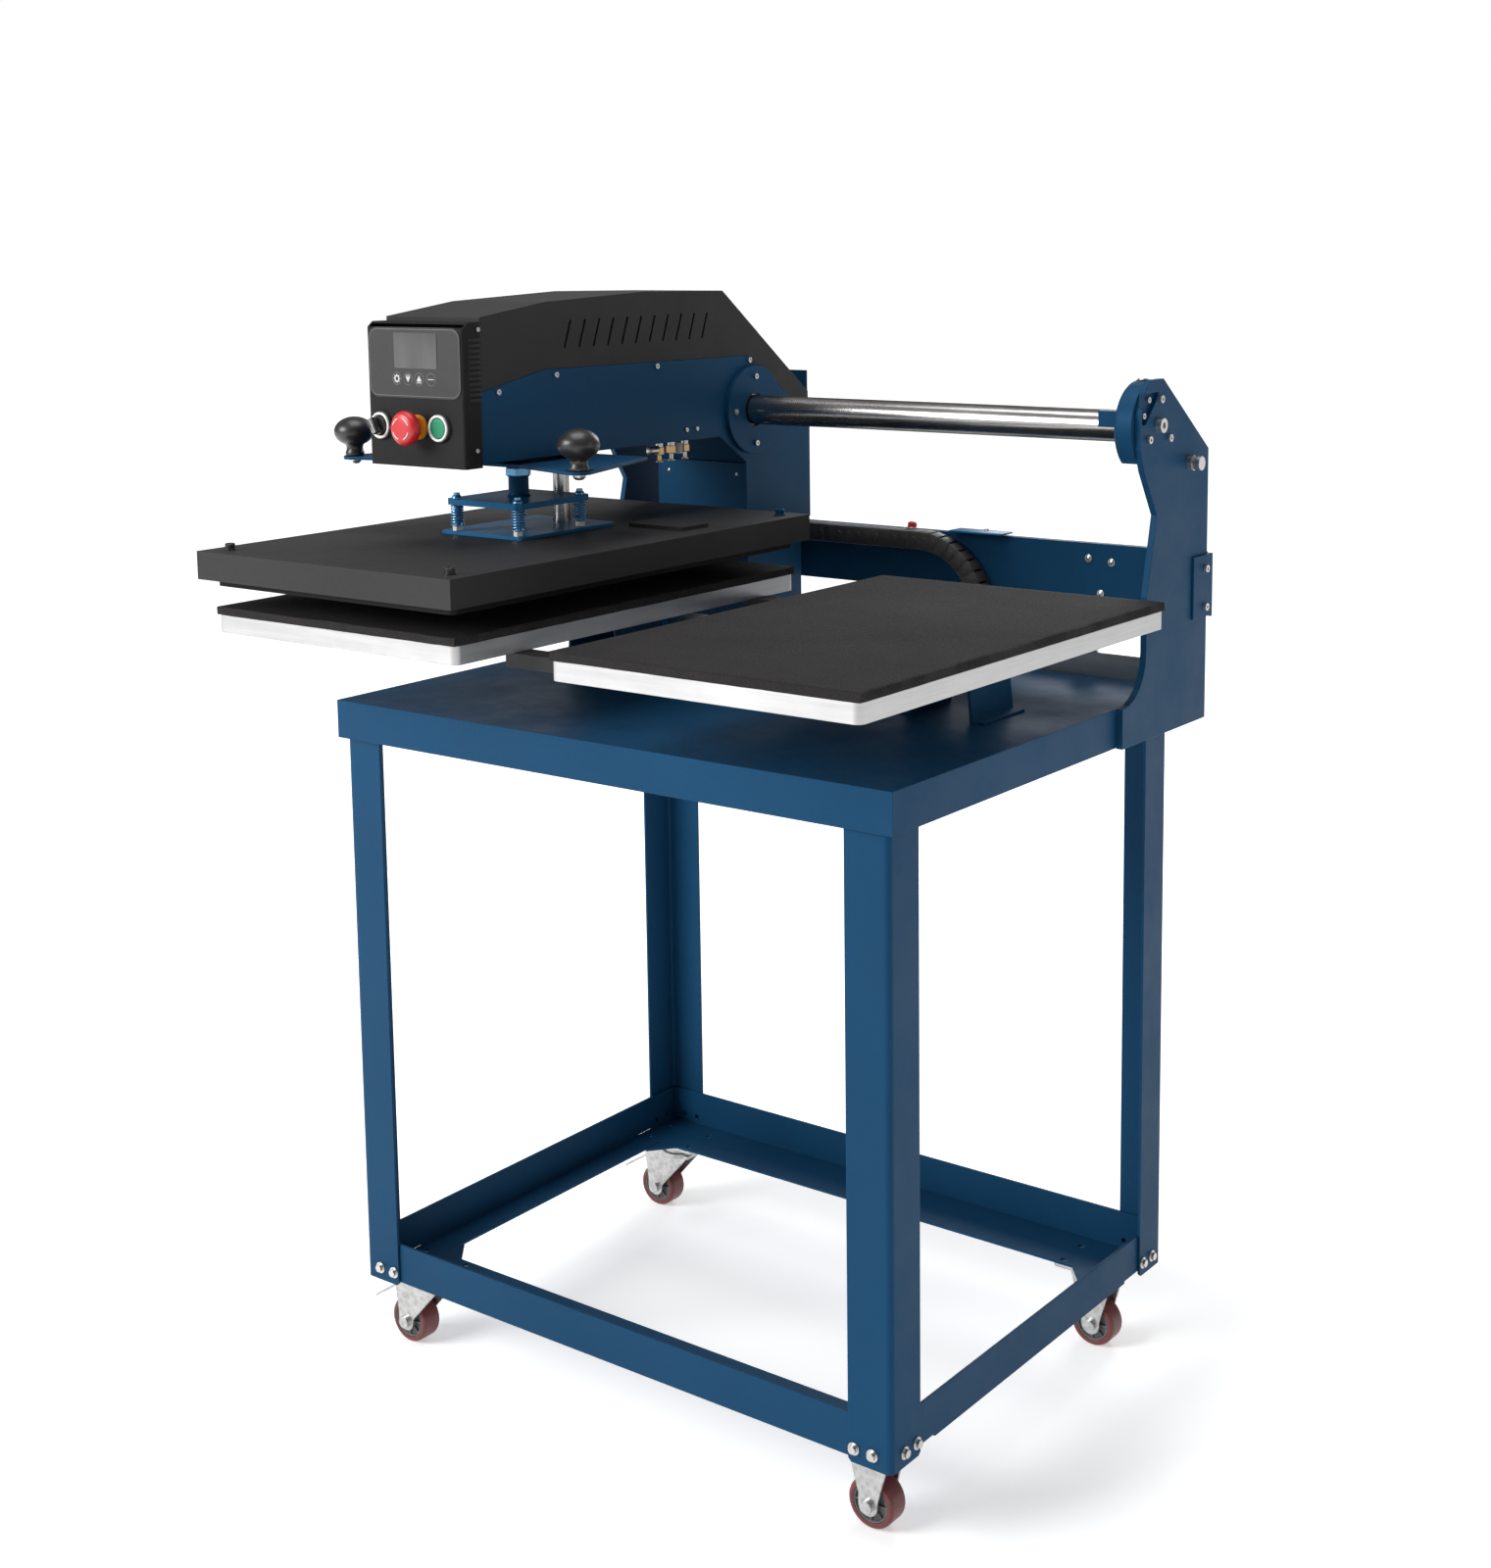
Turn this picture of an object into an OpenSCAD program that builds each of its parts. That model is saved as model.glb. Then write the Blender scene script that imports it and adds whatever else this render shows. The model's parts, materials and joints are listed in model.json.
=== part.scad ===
/* [Stand] */
// Width of the table, left to right
table_w = 800; // [780:2:820]
// Depth of the table, front to back
table_d = 619; // [600:1:640]
// Height of the table's top face above the floor
table_h = 832; // [800:1:900]
// Depth of the table's folded edge
skirt_h = 46; // [30:1:50]
// Width of each face of the angle legs
leg_w = 55; // [45:1:60]
// Height of the upright side of a base rail
rail_h = 49; // [40:1:60]

/* [Platens] */
// Width of one platen, left to right
platen_w = 384; // [360:2:390]
// Length of one platen, front to back
platen_l = 612; // [580:2:620]
// Distance from the middle of the stand to the middle of a platen
station_x = 260; // [255:1:265]
// Thickness of a lower platen
platen_t = 20.8; // [16:0.1:24]
// Thickness of a foam pad
pad_t = 9.6; // [6:0.1:10]

/* [Slide] */
// Diameter of the polished slide bar
bar_d = 38; // [30:1:40]
// Height of the slide bar's axis
bar_z = 1151.5; // [1140:0.5:1160]
// Thickness of the uprights
upright_t = 8; // [6:1:10]

/* [Head] */
// Width of the arm over its two side plates
arm_w = 150; // [140:1:156]
// Width of the control box
box_w = 155; // [150:1:160]
// Stroke of the press
stroke = 24; // [20:1:24]

/* [Casters] */
// Wheel diameter
wheel_d = 58; // [50:1:60]
// Wheel width
wheel_w = 28; // [24:1:28]
// Distance from a swivel's axis back to its wheel's axle
trail = 33; // [28:1:34]

/* [Hidden] */
$fn = 48;

// The drawing is centred on the stand; this moves the origin under the middle of the whole
origin_x = 7.3;
origin_y = 60;
eps = 0.01;

blue = [0.10, 0.24, 0.38];
light_blue = [0.16, 0.36, 0.56];
black = [0.10, 0.10, 0.10];
steel = [0.78, 0.78, 0.76];
red = [0.55, 0.10, 0.10];

// Stand
sheet = 3;
table_front = -336;
table_rear = table_front + table_d;
leg_x = table_w / 2 - 8.5;
leg_front = table_front + 6;
leg_rear = table_rear - 6;
leg_bottom = 100;
leg_top = table_h - skirt_h;
flange_z = leg_bottom + 4;
rail_flange_d = 85;
rail_flange_w = 42;
leg_bolt_z = 116;
leg_bolt_in = [24, 47.5];

// Uprights and slide
upright_in = table_w / 2;
upright_out = upright_in + upright_t;
upright_front = 131;
upright_rear = 345;
upright_bottom = 785;
bar_y = 214.6;
clamp_r = 55;
clamp_len = 24;
clamp_flat = 40;
stop_tab_x = 343.5;
beam_y = 352;
beam_z = [910, 988];
beam_tab_y = 304;
guide_y = [300, 308];
guide_z = [822, 860];

// Lower platens
platen_front = -467.4;
pad_top = 960;
slab_top = pad_top - pad_t;
slab_bottom = slab_top - platen_t;
pedestal_y = [-28, 61];

// Cable chain
chain_y = [325, 349];
chain_t = 24;
chain_r = 92;
chain_bend_x = 3;
chain_bend_z = 885;
chain_upper_len = 210;
chain_lower_len = 262;
chain_tail_len = 50;

// Carriage
arm_out = arm_w / 2;
arm_t = 3;
arm_front = -294.5;
column_front = 201;
column_rear = 345;
column_low_rear = 322;
column_notch_z = 996;
column_bottom = 872;
arm_profile = [[arm_front, 1124], [arm_front, 1206], [-188, 1226], [205, 1223],
    [column_rear, 1135], [column_rear, column_notch_z], [column_low_rear, column_notch_z],
    [column_low_rear, column_bottom], [column_front, column_bottom],
    [column_front, 1083], [145, 1121]];
hood_lip = 0.4;
hood_rear = column_rear - arm_t - 0.4;
box_front = -325;
box_back = -295;
box_z = [1120, 1286];
button_z = 1166;
estop_x = station_x - 4;
press_x = station_x - 39;
selector_x = station_x + 55.5;
barrel_r = 11;
flange_r = 58;
flange_t = 6;
flange_bolt_r = 44;
bearing_r = 28.5;
fit = 0.05;

// Ram, centred on the press axis
ram_y = -157;
cover_x = [-464, -55];
cover_y = [-484, 162];
cover_z = [993, 1026];
heater_bottom = pad_top + stroke + 0.4;
mount_plate_z = [cover_z[1], cover_z[1] + 4];
float_z = [1062.5, 1069.5];
guide_rod_at = [-265, -75];
guide_rod_r = 10;
rod_r = 10;
cylinder_z = [1127, 1218];
cylinder_r = 50;
knob_x = 183;
knob_y = -252;

// Casters
caster_x = leg_x - 57;
caster_front = leg_front + 57;
caster_rear = leg_rear - 57;
wheel_r = wheel_d / 2;
fork_in = wheel_w / 2 + 1.5;
fork_t = 3;
swivel_x = -caster_x;
swivel_wheel_x = swivel_x - trail;

module placed() translate([origin_x, origin_y, 0]) children();

// A slab with square ends in plan and round corners, exact at any radius
module round_slab(w, l, t, r) {
    translate([r, 0, 0]) cube([w - 2 * r, l, t]);
    translate([0, r, 0]) cube([w, l - 2 * r, t]);
    for (x = [r, w - r], y = [r, l - r]) translate([x, y, 0]) cylinder(r = r, h = t);
}

// Turns a profile drawn in (y, z) into a plate that starts at x and runs t to the right
module side_plate(x, t) {
    translate([x, 0, 0]) rotate([90, 0, 90]) linear_extrude(t) children();
}

// Turns a profile drawn in (x, z) into a plate that starts at y and runs t backwards
module front_plate(y, t) {
    translate([0, y + t, 0]) rotate([90, 0, 0]) linear_extrude(t) children();
}

module x_rod(x, y, z, r, len) translate([x, y, z]) rotate([0, 90, 0]) cylinder(r = r, h = len);

module y_rod(x, y, z, r, len) translate([x, y, z]) rotate([-90, 0, 0]) cylinder(r = r, h = len);

// Socket head screw on a face whose normal is +x; dir is 1 or -1
module side_screw(x, y, z, r, dir) {
    head = 0.9 * r;
    translate([x, y, z]) rotate([0, 90 * dir, 0]) difference() {
        cylinder(r = r, h = head);
        translate([0, 0, head * 0.4]) cylinder(r = r * 0.5, h = head, $fn = 6);
    }
}

module mirror_x() {
    children();
    mirror([1, 0, 0]) children();
}

// ---- Stand ----

module table_top() placed() color(blue) difference() {
    translate([-table_w / 2, table_front, leg_top]) cube([table_w, table_d, skirt_h]);
    translate([-table_w / 2 + sheet, table_front + sheet, leg_top - 1])
        cube([table_w - 2 * sheet, table_d - 2 * sheet, skirt_h - sheet + 1]);
}

// Angle leg; sx and sy say which corner it stands in, +1 right or rear
module leg(sx, sy) placed() color(blue) {
    corner_y = sy > 0 ? leg_rear : leg_front;
    bend = 7;
    height = leg_top - leg_bottom;
    translate([sx * leg_x, corner_y, leg_bottom]) scale([sx > 0 ? -1 : 1, sy > 0 ? -1 : 1, 1]) {
        difference() {
            union() {
                translate([bend, 0, 0]) cube([leg_w - bend, sheet, height]);
                translate([0, bend, 0]) cube([sheet, leg_w - bend, height]);
                translate([bend, bend, 0]) intersection() {
                    difference() {
                        cylinder(r = bend, h = height);
                        translate([0, 0, -1]) cylinder(r = bend - sheet, h = height + 2);
                    }
                    translate([-bend, -bend, 0]) cube([bend, bend, height]);
                }
            }
            for (d = leg_bolt_in) {
                y_rod(d, -1, leg_bolt_z - leg_bottom, 3.2, sheet + 2);
                x_rod(-1, d, leg_bolt_z - leg_bottom, 3.2, sheet + 2);
            }
            chamfer = 9;
            translate([leg_w, -1, -chamfer]) rotate([0, -45, 0]) cube([2 * chamfer, sheet + 2, chamfer]);
            translate([-1, leg_w, -chamfer]) rotate([45, 0, 0]) cube([sheet + 2, 2 * chamfer, chamfer]);
        }
        translate([0, sheet, height - sheet]) cube([leg_w + 8, leg_w + 5, sheet - 0.2]);
    }
}

module leg_front_left() leg(-1, -1);
module leg_front_right() leg(1, -1);
module leg_rear_left() leg(-1, 1);
module leg_rear_right() leg(1, 1);

// Corner gusset of a base rail, drawn in plan from the inside corner outwards
module gusset(x, y, sx, sy, w, l) {
    translate([x, y, flange_z]) linear_extrude(sheet)
        polygon([[0, 0], [sx * w, 0], [0, sy * l]]);
}

// Front or rear rail between the legs, with a flange that turns inwards
module cross_rail(sy) placed() color(blue) {
    y = sy > 0 ? leg_rear - sheet - 0.2 : leg_front + sheet + 0.2;
    half = leg_x - 2 * sheet;
    web_y = sy > 0 ? y - sheet : y;
    flange_y = sy > 0 ? y - rail_flange_d : y;
    edge_y = sy > 0 ? flange_y : y + rail_flange_d;
    bolt_x = leg_x - leg_bolt_in[0];
    bolt_x2 = leg_x - leg_bolt_in[1];
    difference() {
        union() {
            translate([-half, web_y, flange_z]) cube([2 * half, sheet, rail_h]);
            translate([-half, flange_y, flange_z]) cube([2 * half, rail_flange_d, sheet]);
            for (sx = [-1, 1])
                gusset(sx * (half - rail_flange_w), edge_y, -sx, -sy, 28, 34);
        }
        for (sx = [-1, 1], bx = [bolt_x, bolt_x2])
            y_rod(sx * bx, web_y - 1, leg_bolt_z, 3.2, sheet + 2);
        for (sx = [-1, 1]) caster_holes(sx * caster_x, sy > 0 ? caster_rear : caster_front);
    }
}

module caster_holes(x, y) {
    for (dx = [-35, 35], dy = [-22.75, 22.75])
        translate([x + dx, y + dy, flange_z - 1]) cylinder(r = 4.2, h = sheet + 2);
}

module base_rail_front() cross_rail(-1);
module base_rail_rear() cross_rail(1);

// Side rail between the front and rear rails
module side_rail(sx) placed() color(blue) {
    x = sx > 0 ? leg_x - sheet - 0.2 : -leg_x + sheet + 0.2;
    web_x = sx > 0 ? x - sheet : x;
    flange_x = sx > 0 ? x - rail_flange_w : x;
    y0 = leg_front + sheet + rail_flange_d + 0.5;
    y1 = leg_rear - sheet - rail_flange_d - 0.5;
    web_y0 = leg_front + 2 * sheet + 0.6;
    web_y1 = leg_rear - 2 * sheet - 0.6;
    difference() {
        union() {
            translate([web_x, web_y0, flange_z + sheet + 0.3])
                cube([sheet, web_y1 - web_y0, rail_h - sheet - 0.3]);
            translate([web_x, y0, flange_z]) cube([sheet, y1 - y0, rail_h]);
            translate([flange_x, y0, flange_z]) cube([rail_flange_w, y1 - y0, sheet]);
        }
        for (d = leg_bolt_in, y = [leg_front + d, leg_rear - d])
            x_rod(web_x - 1, y, leg_bolt_z, 3.2, sheet + 2);
    }
}

module base_rail_left() side_rail(-1);
module base_rail_right() side_rail(1);

// ---- Uprights and slide ----

arc_r = 57;
upright_profile = concat(
    [[upright_front, upright_bottom], [upright_front, table_h]],
    [for (a = [-75 : 15 : 0]) [upright_front + arc_r * cos(a), table_h + arc_r + arc_r * sin(a)]],
    [[upright_front + arc_r, 955], [211, 1049], [178, 1103], [168, 1130], [168, 1170], [182, 1200],
     [196, 1208], [224, 1208], [upright_rear, 1117], [upright_rear, upright_bottom]]);
pocket = [[171, 1157], [180, 1157], [205, 1182], [212, 1193], [171, 1193]];
head_screws = [[215, 1184.6], [238.5, 1137.7], [186.7, 1139.4]];
pocket_screws = [[193, 1184.8], [181, 1167]];
stop_bolt = [292.8, 1103.8];

module upright(sx) placed() color(blue) mirror([sx > 0 ? 0 : 1, 0, 0]) difference() {
    side_plate(upright_in + 0.2, upright_t - 0.2) polygon(upright_profile);
    side_plate(upright_out - 5, 6) polygon(pocket);
    for (s = concat(head_screws, pocket_screws)) x_rod(upright_in - 1, s[0], s[1], 3, 12);
    x_rod(upright_in - 1, stop_bolt[0], stop_bolt[1], 6, 12);
    x_rod(upright_in - 1, bar_y, bar_z, 5, 12);
}

module upright_left() upright(-1);
module upright_right() upright(1);

// Round clamp that holds one end of the bar, with the carriage's stop in front of it
module bar_clamp(sx) placed() color(blue) mirror([sx > 0 ? 0 : 1, 0, 0]) {
    edge = 6;
    difference() {
        union() {
            translate([upright_in, bar_y, bar_z]) rotate([0, -90, 0]) rotate_extrude($fn = 96)
                polygon(concat([[0, 0], [clamp_r, 0]],
                    [for (a = [0 : 30 : 90])
                        [clamp_r - edge + edge * cos(a), clamp_len - edge + edge * sin(a)]],
                    [[0, clamp_len]]));
            translate([stop_tab_x, 186, 1152]) cube([upright_in - stop_tab_x - 10, 8, 19]);
        }
        x_rod(stop_tab_x - 1, bar_y, bar_z, bar_d / 2 + 0.02, 80);
        translate([stop_tab_x, 100, bar_z - clamp_flat - 60]) cube([80, 200, 60]);
    }
}

module bar_clamp_left() bar_clamp(-1);
module bar_clamp_right() bar_clamp(1);

module slide_bar() placed() color(steel)
    x_rod(-upright_in + 0.3, bar_y, bar_z, bar_d / 2, 2 * upright_in - 0.6);

module rear_beam() placed() color(blue) {
    height = beam_z[1] - beam_z[0];
    lip = 12;
    translate([-upright_out - sheet, beam_y, beam_z[0]])
        cube([2 * (upright_out + sheet), sheet, height]);
    for (z = [beam_z[0], beam_z[1] - sheet])
        translate([-upright_in, beam_y, z]) cube([2 * upright_in, lip, sheet]);
    mirror_x() difference() {
        translate([upright_out + 0.2, beam_tab_y, beam_z[0] + 2])
            cube([sheet - 0.2, beam_y + sheet - beam_tab_y, height - 2]);
        for (z = [924.4, 971.4]) x_rod(upright_out, 334, z, 3.2, 5);
    }
}

module guide_rail() placed() color(steel)
    translate([-upright_in + 0.5, guide_y[0], guide_z[0]])
        cube([2 * upright_in - 1, guide_y[1] - guide_y[0], guide_z[1] - guide_z[0]]);

// ---- Lower platens ----

// Folded pedestal with sloping sides, open to the front and the back
module pedestal(sx) placed() color(blue) mirror([sx > 0 ? 0 : 1, 0, 0]) translate([station_x, 0, 0]) {
    low = 44;
    top = 35;
    z0 = table_h + 0.2;
    z1 = slab_bottom - 0.2;
    front_plate(pedestal_y[0], pedestal_y[1] - pedestal_y[0]) difference() {
        polygon([[-low, z0], [low, z0], [top, z1], [-top, z1]]);
        polygon([[-low + sheet + 1, z0 - 1], [low - sheet - 1, z0 - 1],
            [top - sheet, z1 - sheet], [-top + sheet, z1 - sheet]]);
    }
    foot = 16;
    for (s = [0, 1]) mirror([s, 0, 0]) translate([low - 1, pedestal_y[0], z0])
        cube([foot, pedestal_y[1] - pedestal_y[0], sheet]);
}

module pedestal_left() pedestal(-1);
module pedestal_right() pedestal(1);

module platen_tie_bars() placed() color(black)
    for (y = [-375, 60]) translate([-82, y, slab_bottom - 16.5]) cube([164, 29, 16.2]);

module lower_platen(sx) placed() color(steel)
    translate([sx * station_x - platen_w / 2, platen_front, slab_bottom])
        round_slab(platen_w, platen_l, platen_t, 9);

module lower_platen_left() lower_platen(-1);
module lower_platen_right() lower_platen(1);

module pad(sx) placed() color(black)
    translate([sx * station_x - platen_w / 2 - 1, platen_front - 1, slab_top + 0.05])
        round_slab(platen_w + 2, platen_l + 2, pad_t - 0.05, 8);

module pad_left() pad(-1);
module pad_right() pad(1);

// ---- Cable chain ----

chain_low_z = chain_bend_z - chain_r - chain_t / 2;

module chain_trough() placed() color(blue) {
    x0 = chain_bend_x - chain_lower_len - 8;
    x1 = chain_bend_x + 290;
    gap = 1.5;
    y0 = chain_y[0] - gap - 2;
    y1 = chain_y[1] + gap;
    z0 = chain_low_z - 3.5;
    translate([x0, y0, z0]) cube([x1 - x0, y1 - y0 + 2, 2]);
    for (y = [y0, y1]) translate([x0, y, z0]) cube([x1 - x0, 2, 18]);
    for (x = [-200, 200]) translate([x, table_rear + 0.3, leg_top + 8])
        cube([30, y0 - table_rear, 3]);
}

// One straight stretch of links, chain_t high, from x0 to x1 with its middle at z
module chain_straight(x0, x1, z, t = chain_t) {
    translate([x0, chain_y[0], z - t / 2]) cube([x1 - x0, chain_y[1] - chain_y[0], t]);
}

// The bend and the straight stretches beside it, which follow the carriage at half its travel
module chain_loop() placed() color(black) difference() {
    union() {
        chain_straight(chain_bend_x - chain_upper_len, chain_bend_x, chain_bend_z + chain_r);
        chain_straight(chain_bend_x - chain_lower_len, chain_bend_x, chain_bend_z - chain_r);
        translate([chain_bend_x, chain_y[1], chain_bend_z]) rotate([90, 0, 0]) intersection() {
            difference() {
                cylinder(r = chain_r + chain_t / 2, h = chain_y[1] - chain_y[0], $fn = 96);
                translate([0, 0, -1])
                    cylinder(r = chain_r - chain_t / 2, h = 60, $fn = 96);
            }
            translate([0, -200, -1]) cube([200, 400, 60]);
        }
    }
    // room for the end that rides on the carriage, open to the rear
    translate([chain_bend_x - chain_upper_len - 1, chain_y[0] + 3, chain_bend_z + chain_r - 9])
        cube([chain_upper_len + 60, chain_y[1] - chain_y[0], 18]);
}

module chain_upper_run() placed() color(black) {
    x0 = chain_bend_x - chain_upper_len - chain_tail_len;
    z = chain_bend_z + chain_r;
    hook_w = 24;
    hook_top = column_notch_z - 0.3;
    hook_y = chain_y[1] + 0.6;
    translate([x0, chain_y[0] + 3.6, z - 8]) cube([chain_tail_len - 0.6, hook_y - chain_y[0] - 3.6, 16]);
    // hook that carries the chain's end over its top from the column
    translate([x0, hook_y - eps, z - 6]) cube([hook_w, 1.8, hook_top - z + 6]);
    translate([x0, column_low_rear + 2, hook_top - 3]) cube([hook_w, hook_y - column_low_rear - 1, 3]);
}

// ---- Stand fasteners ----

module leg_bolt(x, y, z, axis) {
    translate([x, y, z]) rotate(axis) {
        cylinder(r = 7, h = 1.2);
        cylinder(r = 4.5, h = 5);
    }
}

module stand_bolts() placed() color(steel) {
    for (sx = [-1, 1], d = leg_bolt_in) {
        leg_bolt(sx * (leg_x - d), leg_front - 0.1, leg_bolt_z, [90, 0, 0]);
        leg_bolt(sx * (leg_x - d), leg_rear + 0.1, leg_bolt_z, [-90, 0, 0]);
        for (y = [leg_front + d, leg_rear - d])
            leg_bolt(sx * (leg_x + 0.1), y, leg_bolt_z, [0, 90 * sx, 0]);
    }
    mirror_x() {
        for (s = head_screws) side_screw(upright_out + 0.1, s[0], s[1], 4.5, 1);
        for (s = pocket_screws) side_screw(upright_out - 4.9, s[0], s[1], 3.6, 1);
        side_screw(upright_out + 0.1, bar_y - 3, bar_z + 3, 8.6, 1);
        for (z = [924.4, 971.4]) side_screw(upright_out + sheet + 0.1, 334, z, 4.5, 1);
        // locking bolt and nut on the upright's slanted corner
        x_rod(upright_out + 0.1, stop_bolt[0], stop_bolt[1], 9, 7);
        x_rod(upright_out + 7, stop_bolt[0], stop_bolt[1], 5.5, 3);
        x_rod(upright_out + 9, stop_bolt[0], stop_bolt[1], 8.5, 8);
    }
}

// ---- Casters ----

module caster_plate(x, y) {
    translate([x - 46, y - 32, leg_bottom]) difference() {
        round_slab(92, 64, 3.8, 6);
        for (dx = [-35, 35], dy = [-22.75, 22.75])
            translate([46 + dx, 32 + dy, -1]) cylinder(r = 4.2, h = 6);
    }
}

module swivel_plates() placed() color(steel) for (y = [caster_front, caster_rear]) {
    caster_plate(swivel_x, y);
    translate([swivel_x, y, 90.2]) cylinder(r = 24, h = leg_bottom - 90.2 + eps);
    translate([swivel_x, y, 78]) cylinder(r = 5, h = 14);
}

// Cheek of a fork, in (x, z), round at the axle; top is its two corners at the crown
module cheek(axle_x, top0, top1, top_z) {
    r = 12;
    polygon([[top0, top_z], [top1, top_z], [axle_x + r, wheel_r + 4], [axle_x + r, wheel_r],
        [axle_x - r, wheel_r], [axle_x - r, wheel_r + 12]]);
    translate([axle_x, wheel_r]) circle(r = r);
}

// Both cheeks of a fork and the bolt that the wheel turns on
module fork_cheeks(axle_x, y, top0, top1, top_z) {
    for (s = [-1, 1]) front_plate(s > 0 ? y + fork_in : y - fork_in - fork_t, fork_t)
        cheek(axle_x, top0, top1, top_z);
    y_rod(axle_x, y - fork_in - fork_t - 5, wheel_r, 4, 2 * (fork_in + fork_t) + 10);
    for (s = [-1, 1]) y_rod(axle_x, s > 0 ? y + fork_in + fork_t - eps : y - fork_in - fork_t - 5,
        wheel_r, 7.5, 5 + eps);
}

module rigid_forks() placed() color(steel) for (y = [caster_front, caster_rear]) {
    caster_plate(caster_x, y);
    fork_cheeks(caster_x, y, caster_x - 30, caster_x + 30, leg_bottom + 1);
}

module swivel_fork(y) placed() color(steel) difference() {
    union() {
        translate([swivel_x - 30, y - fork_in - fork_t, 84])
            cube([58, 2 * (fork_in + fork_t), 4]);
        translate([swivel_x, y, 84]) cylinder(r = 27, h = 6);
        fork_cheeks(swivel_wheel_x, y, swivel_x - 52, swivel_x + 26, 86);
    }
    translate([swivel_x, y, 70]) cylinder(r = 5 + fit, h = 40);
}

module swivel_fork_front() swivel_fork(caster_front);
module swivel_fork_rear() swivel_fork(caster_rear);

pedal_x = swivel_x - 44;
pedal_z = 76;

// Looped brake lever on a pin between the cheeks
module brake_pedal(y) placed() color(steel) {
    reach = 66;
    inner = 11;
    outer = 14;
    thick = 3;
    bow = [for (a = [90 : 7.5 : 270]) [cos(a), sin(a)]];
    bow_in = [for (a = [270 : -7.5 : 90]) [cos(a), sin(a)]];
    y_rod(pedal_x, y - outer - 0.6, pedal_z, 3.5, 2 * outer + 1.2);
    translate([pedal_x, y, pedal_z]) rotate([0, -33, 0]) translate([-reach, 0, -thick / 2])
        linear_extrude(height = thick) polygon(concat([[reach, outer]],
            [for (p = bow) [outer + outer * p.x, outer * p.y]], [[reach, -outer], [reach, -inner]],
            [for (p = bow_in) [outer + inner * p.x, inner * p.y]], [[reach, inner]]));
}

module brake_pedal_front() brake_pedal(caster_front);
module brake_pedal_rear() brake_pedal(caster_rear);

// Wheel of a tyre on a hub, one solid with a dished side
module wheel(x, y) placed() color(red) difference() {
    translate([x, y, wheel_r]) rotate([90, 0, 0]) rotate_extrude($fn = 96) {
        half = wheel_w / 2;
        soft = 4;
        polygon(concat([[4 + fit, -half], [10, -half], [12, -half + 3], [19, -half + 3], [21, -half],
            [wheel_r - soft, -half]],
            [for (a = [-60 : 30 : 0]) [wheel_r - soft + soft * cos(a), -half + soft + soft * sin(a)]],
            [for (a = [0 : 30 : 60]) [wheel_r - soft + soft * cos(a), half - soft + soft * sin(a)]],
            [[wheel_r - soft, half], [21, half], [19, half - 3], [12, half - 3], [10, half],
            [4 + fit, half]]));
    }
}

module wheel_front_left() wheel(swivel_wheel_x, caster_front);
module wheel_front_right() wheel(caster_x, caster_front);
module wheel_rear_left() wheel(swivel_wheel_x, caster_rear);
module wheel_rear_right() wheel(caster_x, caster_rear);

// ---- Carriage: everything below is drawn with the arm's middle at -station_x ----

module at_arm() placed() translate([-station_x, 0, 0]) children();

module arm_plate(sx) at_arm() color(blue) mirror([sx > 0 ? 0 : 1, 0, 0]) difference() {
    side_plate(arm_out - arm_t, arm_t) polygon(arm_profile);
    x_rod(arm_out - arm_t - 1, bar_y, bar_z, bearing_r + 0.1, arm_t + 2);
}

module arm_plate_left() arm_plate(-1);
module arm_plate_right() arm_plate(1);

// Folded sheets between the side plates: arm floor, front and back of the column
module column_frame() at_arm() color(blue) {
    half = arm_out - arm_t - 0.2;
    difference() {
        translate([-half, arm_front + 1, 1123]) cube([2 * half, 145 - arm_front, arm_t]);
        translate([0, ram_y, 1100]) cylinder(r = 30, h = 60);
        translate([guide_rod_at[0] + station_x, guide_rod_at[1], 1100])
            cylinder(r = guide_rod_r + fit, h = 60);
    }
    translate([-half, column_front, column_bottom]) cube([2 * half, arm_t, 1081 - column_bottom]);
    translate([-half, column_rear - arm_t, column_notch_z])
        cube([2 * half, arm_t, 1196 - column_notch_z]);
    translate([-half, column_low_rear - arm_t, column_bottom])
        cube([2 * half, arm_t, column_notch_z - column_bottom]);
}

hood_profile = [[arm_front, 1206 + hood_lip], [arm_front, 1291], [-184, 1305], [0, 1312],
    [155, 1309], [hood_rear, 1168], [hood_rear, 1137.2 + hood_lip],
    [205, 1223 + hood_lip], [-188, 1226 + hood_lip]];
hood_hollow = [[arm_front + 2, 1100], [arm_front + 2, 1289], [-184, 1303], [0, 1310], [154, 1307],
    [hood_rear - 2, 1166.6], [hood_rear - 2, 1100]];
slot_count = 11;
slot_lean = 20;

module hood() at_arm() color(black) difference() {
    side_plate(-arm_out, arm_w) polygon(hood_profile);
    side_plate(-arm_out + 1.5, arm_w - 3) polygon(hood_hollow);
    for (i = [0 : slot_count - 1]) translate([-arm_out - 5, -153 + 26.2 * i, 1250])
        rotate([-slot_lean, 0, 0]) cube([arm_w + 10, 3.4, 35]);
}

module control_box() at_arm() color(black) difference() {
    depth = box_back - box_front;
    wall = 2.5;
    height = box_z[1] - box_z[0];
    translate([-box_w / 2, box_front, box_z[0]]) round_slab(box_w, depth - 0.3, height, 4);
    translate([-box_w / 2 + wall, box_front + wall, box_z[0] + wall])
        cube([box_w - 2 * wall, depth - 2 * wall, height - 2 * wall]);
    translate([-box_w, box_front, box_z[1] - 8]) rotate([38, 0, 0]) cube([2 * box_w, 50, 30]);
    for (x = [estop_x, press_x, selector_x])
        y_rod(station_x - x, box_front - 5, button_z, barrel_r + 0.3, 12);
}

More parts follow.
